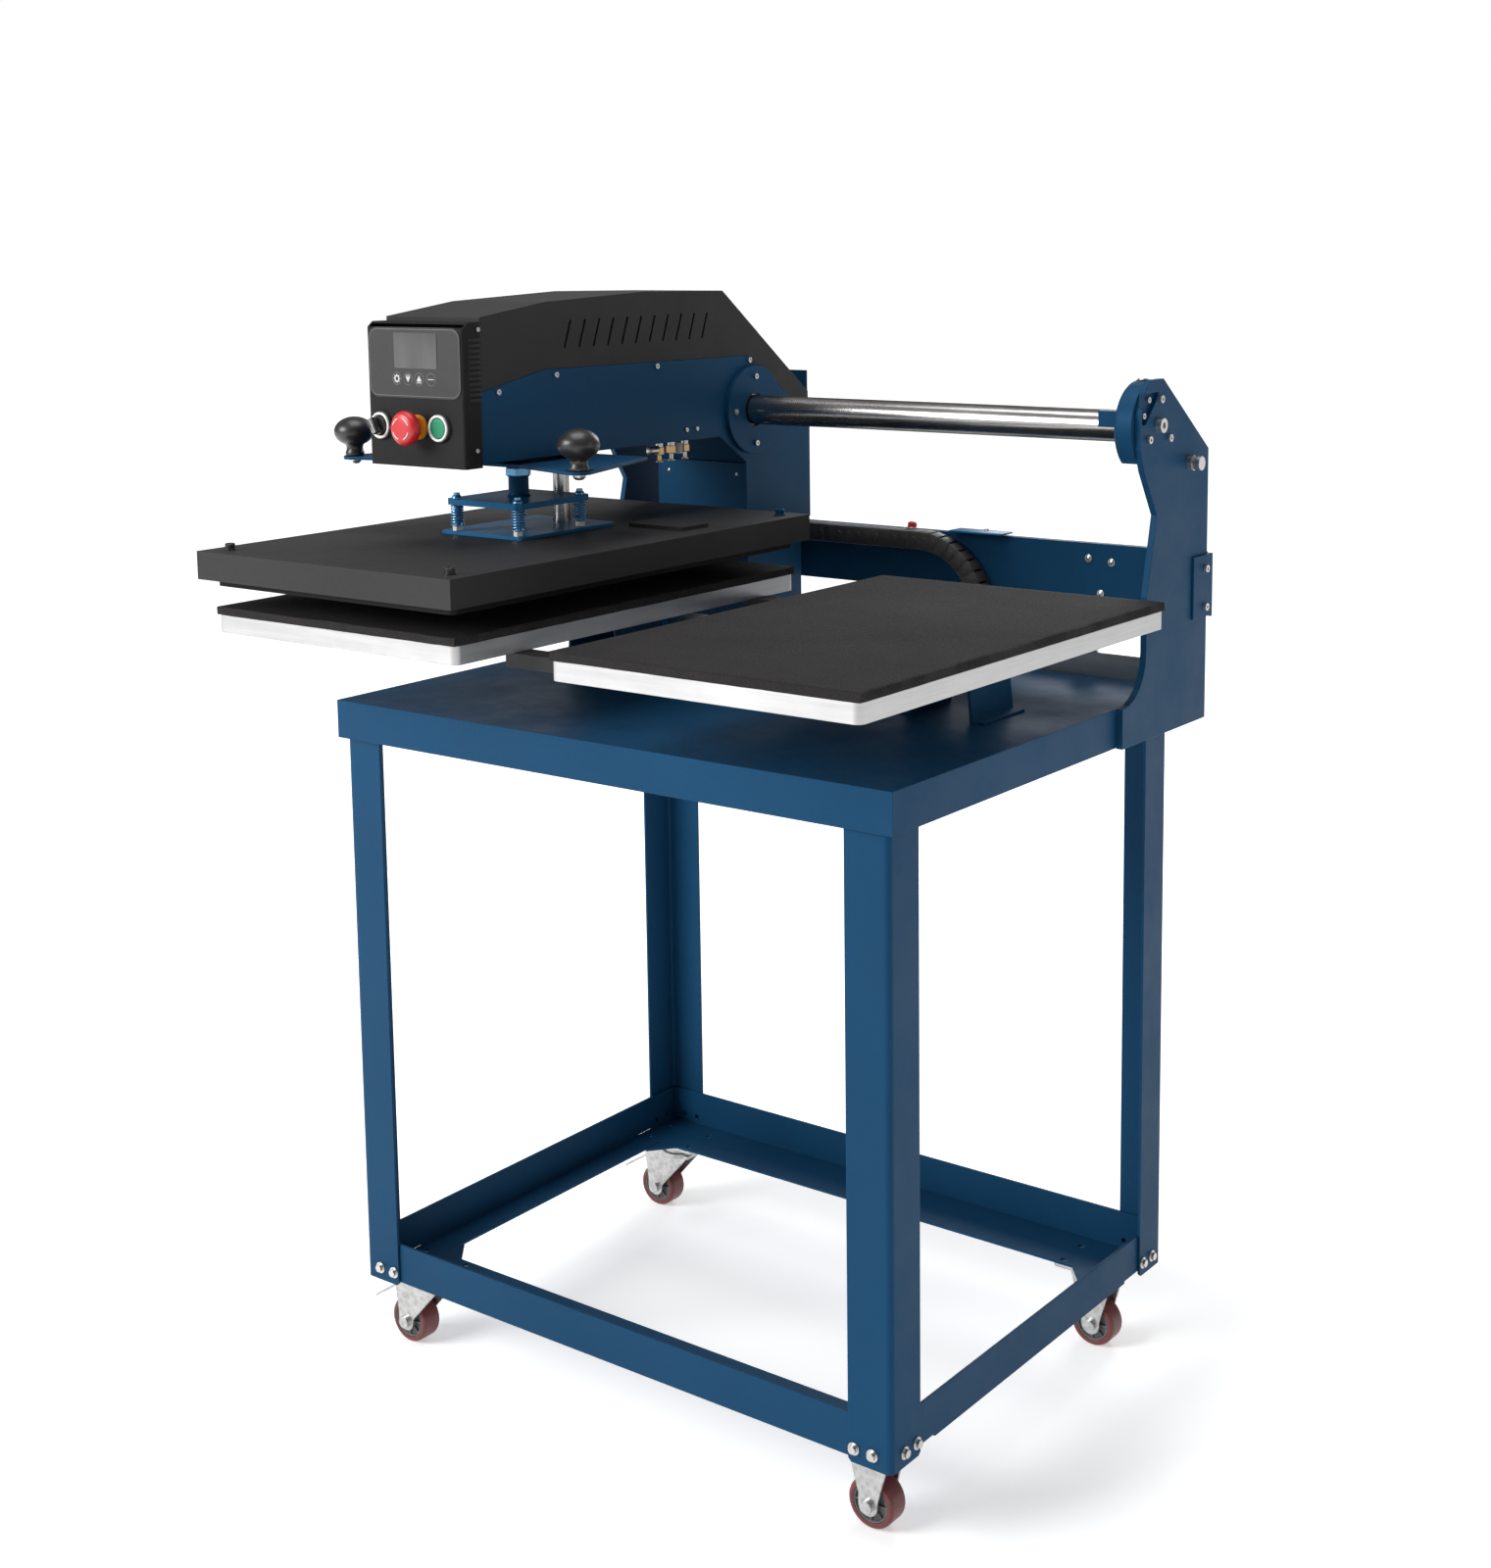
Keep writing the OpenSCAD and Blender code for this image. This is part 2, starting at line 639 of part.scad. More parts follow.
// Membrane panel with the display behind a window
module control_panel() at_arm() color(black)
    front_plate(box_front - 1.2, 1) translate([-72, 1199.5]) {
        w = 146;
        h = 80;
        r = 10;
        translate([r, 0]) square([w - 2 * r, h]);
        translate([0, r]) square([w, h - 2 * r]);
        for (x = [r, w - r], y = [r, h - r]) translate([x, y]) circle(r = r);
    }

module bearing_flanges() at_arm() color(blue) mirror_x() difference() {
    x_rod(arm_out + 0.1, bar_y, bar_z, flange_r, flange_t);
    x_rod(arm_out - 1, bar_y, bar_z, bar_d / 2 + 2.5, flange_t + 3);
}

// Two linear bushings on the bar, and the nylon shoe that straddles the guide rail
module slide_bearings() at_arm() color(steel) {
    mirror_x() difference() {
        x_rod(12, bar_y, bar_z, bearing_r, arm_out - 12);
        x_rod(11, bar_y, bar_z, bar_d / 2 + fit, arm_out);
    }
    difference() {
        translate([-22, guide_y[0] - 5, 846]) cube([30, 18, column_bottom - 846 - 0.3]);
        translate([-23, guide_y[0] - 0.3, 840])
            cube([32, guide_y[1] - guide_y[0] + 0.6, guide_z[1] - 840 + 0.3]);
    }
}

module air_cylinder() at_arm() color(steel) translate([0, ram_y, 0]) difference() {
    translate([0, 0, cylinder_z[0]]) cylinder(r = cylinder_r, h = cylinder_z[1] - cylinder_z[0]);
    translate([0, 0, cylinder_z[0] + 11])
        cylinder(r = cylinder_r - 5, h = cylinder_z[1] - cylinder_z[0] - 19);
    translate([0, 0, cylinder_z[0] - 1]) cylinder(r = rod_r + fit, h = 20);
}

// One flat plate that carries both handles and is bolted under the arm
module handle_plate() at_arm() color(blue) difference() {
    tip = 14;
    root_y = -86;
    wing = concat([[145, root_y]],
        [for (a = [15 : -30 : -105]) [knob_x + tip * cos(a), knob_y + tip * sin(a)]],
        [[arm_out, -235]]);
    translate([0, 0, 1114]) linear_extrude(4)
        polygon(concat(wing, [for (i = [len(wing) - 1 : -1 : 0]) [-wing[i][0], wing[i][1]]]));
    translate([0, ram_y, 1100]) cylinder(r = 30, h = 30);
    translate([guide_rod_at[0] + station_x, guide_rod_at[1], 1100]) cylinder(r = 20, h = 30);
}

// Flattened bulb on a short neck, with the nut that holds it under the plate
module handle_knobs() at_arm() color(black) mirror_x() translate([knob_x, knob_y, 0]) {
    bulb_r = 24.6;
    bulb_h = 18;
    bulb_z = 1148;
    rotate_extrude() polygon(concat([[0, 1118.2], [11.5, 1118.2], [11.5, 1122], [10, 1124]],
        [for (a = [-66 : 12 : 78]) [bulb_r * cos(a), bulb_z + bulb_h * sin(a)]],
        [[0, bulb_z + bulb_h]]));
    translate([0, 0, 1107]) cylinder(r = 7, h = 6.8);
}

arm_screws = [[-268, 1204.6], [-169, 1219], [18, 1219], [209, 1217]];
fitting_screws = [[75.4, 1135.1], [96.6, 1135.1]];

module carriage_screws() at_arm() color(steel) mirror_x() {
    for (s = arm_screws) side_screw(arm_out + 0.1, s[0], s[1], 3.4, 1);
    for (s = fitting_screws) side_screw(arm_out + 0.1, s[0], s[1], 2.6, 1);
    for (a = [0 : 90 : 270]) side_screw(arm_out + flange_t + 0.2, bar_y + flange_bolt_r * cos(a),
        bar_z + flange_bolt_r * sin(a), 3.6, 1);
    for (s = [[-301, 1277.5], [-307.5, 1140.4]]) side_screw(box_w / 2 + 0.1, s[0], s[1], 2.6, 1);
}

// ---- Ram: everything that the press moves ----

module piston_rod() at_arm() color(light_blue) translate([0, ram_y, 0]) {
    translate([0, 0, float_z[1] + 0.1]) cylinder(r1 = 15.5, r2 = 12.4, h = 7);
    translate([0, 0, float_z[1] + 7]) cylinder(r = 12.4, h = 17);
    translate([0, 0, 1093.5]) cylinder(r = 16, h = 12, $fn = 6);
    translate([0, 0, 1094]) cylinder(r = rod_r, h = 100);
    translate([0, 0, 1176]) cylinder(r = cylinder_r - 5 - 0.1, h = 16);
}

float_bolts = [for (x = [-50, 50], y = [-55, 55]) [x + 2, y - 160]];

module float_plate() at_arm() color(light_blue) difference() {
    translate([2, -160, float_z[0]]) linear_extrude(float_z[1] - float_z[0])
        polygon([[-55, -65], [55, -65], [61, -59], [61, 59], [55, 65], [-55, 65], [-61, 59],
            [-61, -59]]);
    for (b = float_bolts) translate([b[0], b[1], 1000]) cylinder(r = 4.5, h = 100);
}

cover_bolt_in = 27;

module ram_bolts() at_arm() color(steel) {
    for (b = float_bolts) translate([b[0], b[1], 0]) {
        translate([0, 0, mount_plate_z[1] + 0.1]) cylinder(r = 4, h = 46);
        translate([0, 0, mount_plate_z[1] + 0.1]) cylinder(r = 6, h = 7, $fn = 6);
        translate([0, 0, float_z[1] + 0.2]) intersection() {
            translate([0, 0, -2]) sphere(r = 6.8);
            cylinder(r = 6.2, h = 12);
        }
    }
    for (x = [cover_x[0] + cover_bolt_in, cover_x[1] - cover_bolt_in],
            y = [cover_y[0] + cover_bolt_in, cover_y[1] - cover_bolt_in])
        translate([x + station_x, y, cover_z[1] + 0.1]) {
            cylinder(r = 7.5, h = 1.5);
            cylinder(r = 6, h = 8);
        }
}

module mount_plate() at_arm() color(light_blue)
    translate([-71, -222, mount_plate_z[0] + 0.1]) round_slab(134, 172, 3.9, 7);

module guide_rod() at_arm() color(steel)
    translate([guide_rod_at[0] + station_x, guide_rod_at[1], mount_plate_z[1] + 0.1]) {
        cylinder(r = guide_rod_r, h = 145);
        cylinder(r = guide_rod_r + 1, h = 3);
    }

module platen_cover() at_arm() color(black) difference() {
    w = cover_x[1] - cover_x[0];
    l = cover_y[1] - cover_y[0];
    h = cover_z[1] - cover_z[0];
    wall = 2;
    translate([cover_x[0] + station_x, cover_y[0], cover_z[0]]) {
        difference() {
            cube([w, l, h]);
            translate([wall, wall, -1]) cube([w - 2 * wall, l - 2 * wall, h - wall + 1]);
        }
        translate([cover_x[1] - cover_x[0] - 118, 429, h - eps]) cube([85, 50, 5]);
    }
}

module heater_plate() at_arm() color(steel)
    translate([-platen_w / 2, platen_front, heater_bottom])
        round_slab(platen_w, platen_l, 38, 9);

// ---- Controls ----

module estop_button() at_arm() color(red) translate([station_x - estop_x, 0, button_z])
    rotate([90, 0, 0]) {
        translate([0, 0, -box_front - 8]) cylinder(r = 9, h = 22);
        translate([0, 0, -box_front + 12]) cylinder(r1 = 15, r2 = 20, h = 6);
        translate([0, 0, -box_front + 18 - eps]) cylinder(r = 20, h = 8);
        translate([0, 0, -box_front + 26 - eps]) cylinder(r1 = 20, r2 = 15, h = 4);
    }

module press_button() at_arm() color([0.05, 0.45, 0.3])
    translate([station_x - press_x, 0, button_z]) rotate([90, 0, 0]) {
        translate([0, 0, -box_front - 8]) cylinder(r = 9.5, h = 12);
        translate([0, 0, -box_front + 3.4]) cylinder(r = 11.4, h = 1.8);
    }

module selector_knob() at_arm() color(black)
    translate([station_x - selector_x, 0, button_z]) rotate([90, 0, 0]) {
        translate([0, 0, -box_front - 8]) cylinder(r = 9.5, h = 13);
        translate([0, 0, -box_front + 3]) cylinder(r = 11.2, h = 4);
        rotate([0, 0, 120]) translate([-10, -4, -box_front + 7 - eps]) cube([20, 8, 10]);
    }

table_top();
leg_front_left();
leg_front_right();
leg_rear_left();
leg_rear_right();
base_rail_front();
base_rail_rear();
base_rail_left();
base_rail_right();
upright_left();
upright_right();
bar_clamp_left();
bar_clamp_right();
slide_bar();
rear_beam();
guide_rail();
pedestal_left();
pedestal_right();
platen_tie_bars();
lower_platen_left();
lower_platen_right();
pad_left();
pad_right();
chain_trough();
stand_bolts();
swivel_plates();
rigid_forks();
swivel_fork_front();
swivel_fork_rear();
brake_pedal_front();
brake_pedal_rear();
wheel_front_left();
wheel_front_right();
wheel_rear_left();
wheel_rear_right();
arm_plate_left();
arm_plate_right();
column_frame();
hood();
control_box();
control_panel();
bearing_flanges();
slide_bearings();
air_cylinder();
handle_plate();
handle_knobs();
carriage_screws();
chain_upper_run();
chain_loop();
piston_rod();
float_plate();
ram_bolts();
mount_plate();
guide_rod();
platen_cover();
heater_plate();
estop_button();
press_button();
selector_knob();
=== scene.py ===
"""Looks for the sliding-head heat press: materials, detailed pieces, lights and camera."""
import json
import math
import random

import bmesh
import bpy
from mathutils import Matrix, Vector


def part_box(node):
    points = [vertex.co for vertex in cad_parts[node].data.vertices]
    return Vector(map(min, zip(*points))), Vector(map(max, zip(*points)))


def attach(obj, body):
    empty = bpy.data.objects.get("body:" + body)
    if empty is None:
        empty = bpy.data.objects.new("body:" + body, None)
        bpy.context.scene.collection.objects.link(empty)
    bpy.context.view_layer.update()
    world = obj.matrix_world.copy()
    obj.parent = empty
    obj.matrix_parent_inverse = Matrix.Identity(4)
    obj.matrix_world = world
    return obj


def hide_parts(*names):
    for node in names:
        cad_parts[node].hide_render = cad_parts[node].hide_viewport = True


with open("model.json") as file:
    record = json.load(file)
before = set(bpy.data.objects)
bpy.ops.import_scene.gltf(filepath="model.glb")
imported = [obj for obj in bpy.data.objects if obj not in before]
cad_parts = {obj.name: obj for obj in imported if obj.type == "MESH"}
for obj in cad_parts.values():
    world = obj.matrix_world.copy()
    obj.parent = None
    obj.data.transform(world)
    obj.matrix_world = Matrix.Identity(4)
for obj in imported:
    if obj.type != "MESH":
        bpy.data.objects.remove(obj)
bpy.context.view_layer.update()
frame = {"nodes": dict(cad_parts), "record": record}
NODES = frame["nodes"]
MM = 0.001

# The drawing of the machine is centred on its stand; its origin in the frame follows
# from the table, which is 336 mm deep in front of that middle.
TABLE_LOW, TABLE_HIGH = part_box("table_top")
TABLE_FRONT = 336
STAND_X = (TABLE_LOW.x + TABLE_HIGH.x) / 2
STAND_Y = TABLE_LOW.y + TABLE_FRONT * MM


def at(x, y, z):
    """A point of the stand-centred drawing, in millimetres, as a point in the frame."""
    return Vector((STAND_X + x * MM, STAND_Y + y * MM, z * MM))


# ---------------------------------------------------------------- materials

class Look:
    """A node material on a Principled shader; constants go on its sockets."""

    def __init__(self, name, **sockets):
        self.material = bpy.data.materials.new(name)
        self.material.use_nodes = True
        self.tree = self.material.node_tree
        self.shader = self.tree.nodes["Principled BSDF"]
        for key, value in sockets.items():
            self.shader.inputs[key.replace("_", " ")].default_value = value
        self.place = self.tree.nodes.new("ShaderNodeTexCoord").outputs["Object"]

    def node(self, kind, **values):
        made = self.tree.nodes.new("ShaderNode" + kind)
        for key, value in values.items():
            setattr(made, key, value)
        return made

    def join(self, source, target):
        self.tree.links.new(source, target)

    def feed(self, target, value):
        """Links a socket to the target, or sets a constant on it."""
        if isinstance(value, bpy.types.NodeSocket):
            self.join(value, target)
        else:
            target.default_value = value

    def stretched(self, factors):
        """Object coordinates scaled along each axis."""
        mapping = self.node("Mapping")
        self.join(self.place, mapping.inputs["Vector"])
        mapping.inputs["Scale"].default_value = factors
        return mapping.outputs["Vector"]

    def noise(self, scale, detail=3, roughness=0.55, stretch=None):
        made = self.node("TexNoise")
        self.join(self.stretched(stretch) if stretch else self.place, made.inputs["Vector"])
        for key, value in (("Scale", scale), ("Detail", detail), ("Roughness", roughness)):
            made.inputs[key].default_value = value
        return made.outputs["Fac"]

    def cells(self, scale):
        made = self.node("TexVoronoi")
        self.join(self.place, made.inputs["Vector"])
        made.inputs["Scale"].default_value = scale
        return made.outputs["Distance"]

    def span(self, value, low, high, out_low=0.0, out_high=1.0):
        """Maps low..high to out_low..out_high, clamped."""
        made = self.node("MapRange")
        self.join(value, made.inputs["Value"])
        for key, number in (("From Min", low), ("From Max", high), ("To Min", out_low),
                            ("To Max", out_high)):
            made.inputs[key].default_value = number
        return made.outputs["Result"]

    def maths(self, operation, first, second=0.0):
        made = self.node("Math", operation=operation)
        self.feed(made.inputs[0], first)
        self.feed(made.inputs[1], second)
        return made.outputs[0]

    def mix(self, factor, first, second):
        """Colour from first to second as the factor goes from 0 to 1."""
        made = self.node("Mix", data_type="RGBA")
        self.feed(made.inputs[0], factor)
        for socket, value in ((made.inputs[6], first), (made.inputs[7], second)):
            self.feed(socket, value if isinstance(value, bpy.types.NodeSocket) else (*value, 1))
        return made.outputs[2]

    def color(self, value):
        self.join(value, self.shader.inputs["Base Color"])

    def rough(self, value):
        self.join(value, self.shader.inputs["Roughness"])

    def edge(self, radius):
        """0 on flat faces and towards 1 along outer edges within radius."""
        bevel = self.node("Bevel", samples=4)
        bevel.inputs["Radius"].default_value = radius
        geometry = self.node("NewGeometry")
        dot = self.node("VectorMath", operation="DOT_PRODUCT")
        self.join(bevel.outputs[0], dot.inputs[0])
        self.join(geometry.outputs["Normal"], dot.inputs[1])
        return self.span(dot.outputs["Value"], 1.0, 0.75)

    def bump(self, height, strength, distance, soft_edge=0.0):
        made = self.node("Bump")
        made.inputs["Strength"].default_value = strength
        made.inputs["Distance"].default_value = distance
        self.join(height, made.inputs["Height"])
        if soft_edge:
            bevel = self.node("Bevel", samples=4)
            bevel.inputs["Radius"].default_value = soft_edge
            self.join(bevel.outputs[0], made.inputs["Normal"])
        self.join(made.outputs[0], self.shader.inputs["Normal"])


def powder(name, color, rough, grain, soft_edge=0.0012, tint=(1, 1, 1), shine=0.2):
    """Powder coat: orange peel, a faint tint drift, dusty patches and a painted highlight along
    the edges, broken up by noise.
    """
    look = Look(name, Specular_IOR_Level=shine)
    look.shader.inputs["Specular Tint"].default_value = (*tint, 1)
    drift = look.noise(3.5, 4, 0.6)
    speck = look.noise(900, 2, 0.6)
    base = look.mix(look.span(drift, 0.3, 0.7), [c * 0.88 for c in color],
                    [c * 1.12 for c in color])
    base = look.mix(look.span(speck, 0.45, 0.75, 0, 0.35), base, [c * 1.5 + 0.004 for c in color])
    # painted highlight: edges are lightened in noisy patches to stand in for light caught along
    # them
    edge_highlight = look.maths("MULTIPLY", look.edge(0.0014), look.span(look.noise(45, 5), 0.35, 0.7))
    look.color(look.mix(look.maths("MULTIPLY", edge_highlight, 0.45), base,
                        [min(1, c * 1.9 + 0.012) for c in color]))
    smudge = look.span(look.noise(14, 5, 0.65), 0.3, 0.7, rough - 0.06, rough + 0.09)
    look.rough(smudge)
    peel = look.maths("ADD", look.noise(420, 2), look.maths("MULTIPLY", look.noise(1500, 2), 0.5))
    look.bump(peel, grain, 0.0004, soft_edge)
    return look.material


def brushed(name, color, rough, stretch, strength=0.12, metallic=1.0):
    """Metal with fine streaks; stretch squeezes the noise across the grain."""
    look = Look(name, Metallic=metallic)
    streak = look.noise(160, 4, 0.7, stretch)
    blotch = look.noise(9, 4, 0.6)
    shade = look.maths("ADD", look.maths("MULTIPLY", streak, 0.6),
                       look.maths("MULTIPLY", blotch, 0.4))
    look.color(look.mix(look.span(shade, 0.35, 0.65), [c * 0.86 for c in color],
                        [min(1, c * 1.1) for c in color]))
    look.rough(look.span(shade, 0.3, 0.7, rough - 0.07, rough + 0.1))
    look.bump(streak, strength, 0.0003, 0.0008)
    return look.material


def zinc(name):
    """Bright zinc plate on pressed steel: cloudy spangle, soft dents and dull grey patches."""
    look = Look(name, Metallic=0.9)
    cloud = look.cells(140)
    veil = look.noise(30, 5, 0.65)
    base = look.mix(look.span(cloud, 0.1, 0.7), (0.40, 0.40, 0.395), (0.56, 0.56, 0.55))
    look.color(look.mix(look.span(veil, 0.5, 0.72, 0, 0.5), base, (0.27, 0.265, 0.26)))
    look.rough(look.span(veil, 0.3, 0.7, 0.26, 0.45))
    look.bump(look.noise(70, 3), 0.15, 0.001, 0.0012)
    return look.material


def moulded(name, color, rough, grain, coat=0.0, variation=0.12):
    """Moulded plastic or urethane with a fine grain and slight sheen changes."""
    look = Look(name, Coat_Weight=coat, Coat_Roughness=0.08)
    veil = look.noise(35, 4, 0.6)
    look.color(look.mix(look.span(veil, 0.3, 0.7), [c * (1 - variation) for c in color],
                        [min(1, c * (1 + variation)) for c in color]))
    look.rough(look.span(look.noise(60, 4), 0.3, 0.7, rough - 0.04, rough + 0.06))
    look.bump(look.noise(1100, 2), grain, 0.0003, 0.0006)
    return look.material


def foam_look():
    """Black silicone foam: open pores with painted shade in them, lint and a greyer worn skin."""
    look = Look("foam", Specular_IOR_Level=0.12)
    pores = look.cells(620)
    coarse = look.cells(210)
    lint = look.noise(1400, 2, 0.7)
    patch = look.noise(6, 5, 0.6)
    base = look.mix(look.span(patch, 0.3, 0.7), (0.017, 0.0155, 0.0165), (0.026, 0.024, 0.025))
    # painted shade: the colour darkens towards the middle of each pore
    base = look.mix(look.span(pores, 0.05, 0.4), (0.006, 0.006, 0.006), base)
    look.color(look.mix(look.span(lint, 0.62, 0.8, 0, 0.4), base, (0.06, 0.056, 0.056)))
    look.rough(look.span(pores, 0.1, 0.6, 0.95, 0.78))
    depth = look.maths("ADD", look.maths("MULTIPLY", pores, 0.7),
                       look.maths("MULTIPLY", coarse, 0.6))
    look.bump(depth, 0.45, 0.0009)
    return look.material


def chrome_look():
    """Ground and hard-chromed bar: round grinding rings and a thin oil film."""
    look = Look("chrome_bar", Metallic=1.0)
    look.shader.inputs["Specular Tint"].default_value = (0.16, 0.16, 0.16, 1)
    rings = look.noise(2400, 3, 0.6, (1, 0.02, 0.02))
    film = look.noise(12, 4, 0.6, (0.4, 1, 1))
    look.color(look.mix(look.span(film, 0.3, 0.7), (0.40, 0.39, 0.385), (0.52, 0.51, 0.50)))
    look.rough(look.span(film, 0.3, 0.7, 0.2, 0.3))
    look.bump(rings, 0.03, 0.0002)
    return look.material


def display_look():
    """Grey display glass with a soft diagonal sheen painted into its colour as a painted
    highlight.
    """
    look = Look("display", Coat_Weight=0.6, Coat_Roughness=0.05)
    # painted highlight: a soft lighter sheen across the display, painted into its colour
    painted_sheen = look.noise(14, 1, 0.4, (2.2, 1, 0.9))
    look.color(look.mix(look.span(painted_sheen, 0.35, 0.65), (0.058, 0.058, 0.059), (0.088, 0.088, 0.09)))
    look.rough(look.span(look.noise(300, 2), 0.3, 0.7, 0.16, 0.24))
    look.bump(look.noise(800, 2), 0.02, 0.0002)
    return look.material


BLUE = (0.0068, 0.0455, 0.103)
LIGHT_BLUE = (0.014, 0.105, 0.235)
BLUE_TINT = (0.3, 0.6, 1.0)
MAT = {
    "blue_paint": powder("blue_paint", BLUE, 0.46, 0.10, tint=BLUE_TINT, shine=0.13),
    "light_blue_paint": powder("light_blue_paint", LIGHT_BLUE, 0.34, 0.08, 0.0007, BLUE_TINT),
    "black_paint": powder("black_paint", (0.024, 0.0235, 0.024), 0.55, 0.22),
    "aluminium": brushed("aluminium", (0.50, 0.50, 0.505), 0.45, (0.05, 0.05, 1), 0.05),
    "chrome_bar": chrome_look(),
    "steel": brushed("steel", (0.56, 0.555, 0.54), 0.38, (0.05, 1, 1), 0.2),
    "zinc": zinc("zinc"),
    "screws": brushed("screws", (0.60, 0.585, 0.56), 0.3, (1, 1, 1)),
    "foam": foam_look(),
    "red_urethane": moulded("red_urethane", (0.13, 0.021, 0.021), 0.4, 0.08, 0.1),
    "black_plastic": moulded("black_plastic", (0.024, 0.0235, 0.024), 0.46, 0.10),
    "chain_plastic": moulded("chain_plastic", (0.036, 0.0335, 0.034), 0.5, 0.14, variation=0.3),
    "gloss_black": moulded("gloss_black", (0.014, 0.0125, 0.0125), 0.38, 0.015, 0.12),
    "panel_film": moulded("panel_film", (0.0095, 0.0092, 0.0095), 0.5, 0.05, 0.0),
    "red_plastic": moulded("red_plastic", (0.50, 0.012, 0.018), 0.4, 0.02, 0.1),
    "green_plastic": moulded("green_plastic", (0.0008, 0.20, 0.095), 0.5, 0.02, 0.0),
    "grey_hub": moulded("grey_hub", (0.115, 0.118, 0.115), 0.5, 0.12),
    "yellow_plastic": moulded("yellow_plastic", (0.70, 0.25, 0.01), 0.36, 0.03, 0.15),
    "white_print": moulded("white_print", (0.50, 0.50, 0.485), 0.5, 0.02),
    "grey_print": moulded("grey_print", (0.13, 0.13, 0.13), 0.5, 0.02),
    "brass": brushed("brass", (0.62, 0.42, 0.20), 0.3, (1, 1, 1)),
    "bright_ring": brushed("bright_ring", (0.80, 0.80, 0.78), 0.35, (1, 1, 1), 0.03, 0.25),
    "display": display_look(),
    "box_paint": powder("box_paint", (0.0105, 0.0098, 0.0105), 0.52, 0.25, shine=0.14),
    "dark_coating": powder("dark_coating", (0.006, 0.006, 0.006), 0.5, 0.1, shine=0.1),
    "blued_zinc": brushed("blued_zinc", (0.16, 0.40, 0.66), 0.3, (1, 1, 1), 0.04, 0.8),
}


# ---------------------------------------------------------------- mesh pieces

def axes(origin, direction, up=(0, 0, 1)):
    """A matrix whose +Z runs along direction from origin."""
    z = Vector(direction).normalized()
    x = Vector(up).cross(z)
    if x.length < 1e-6:
        x = Vector((1, 0, 0))
    x.normalize()
    return Matrix.Translation(origin) @ Matrix((x, z.cross(x), z)).transposed().to_4x4()


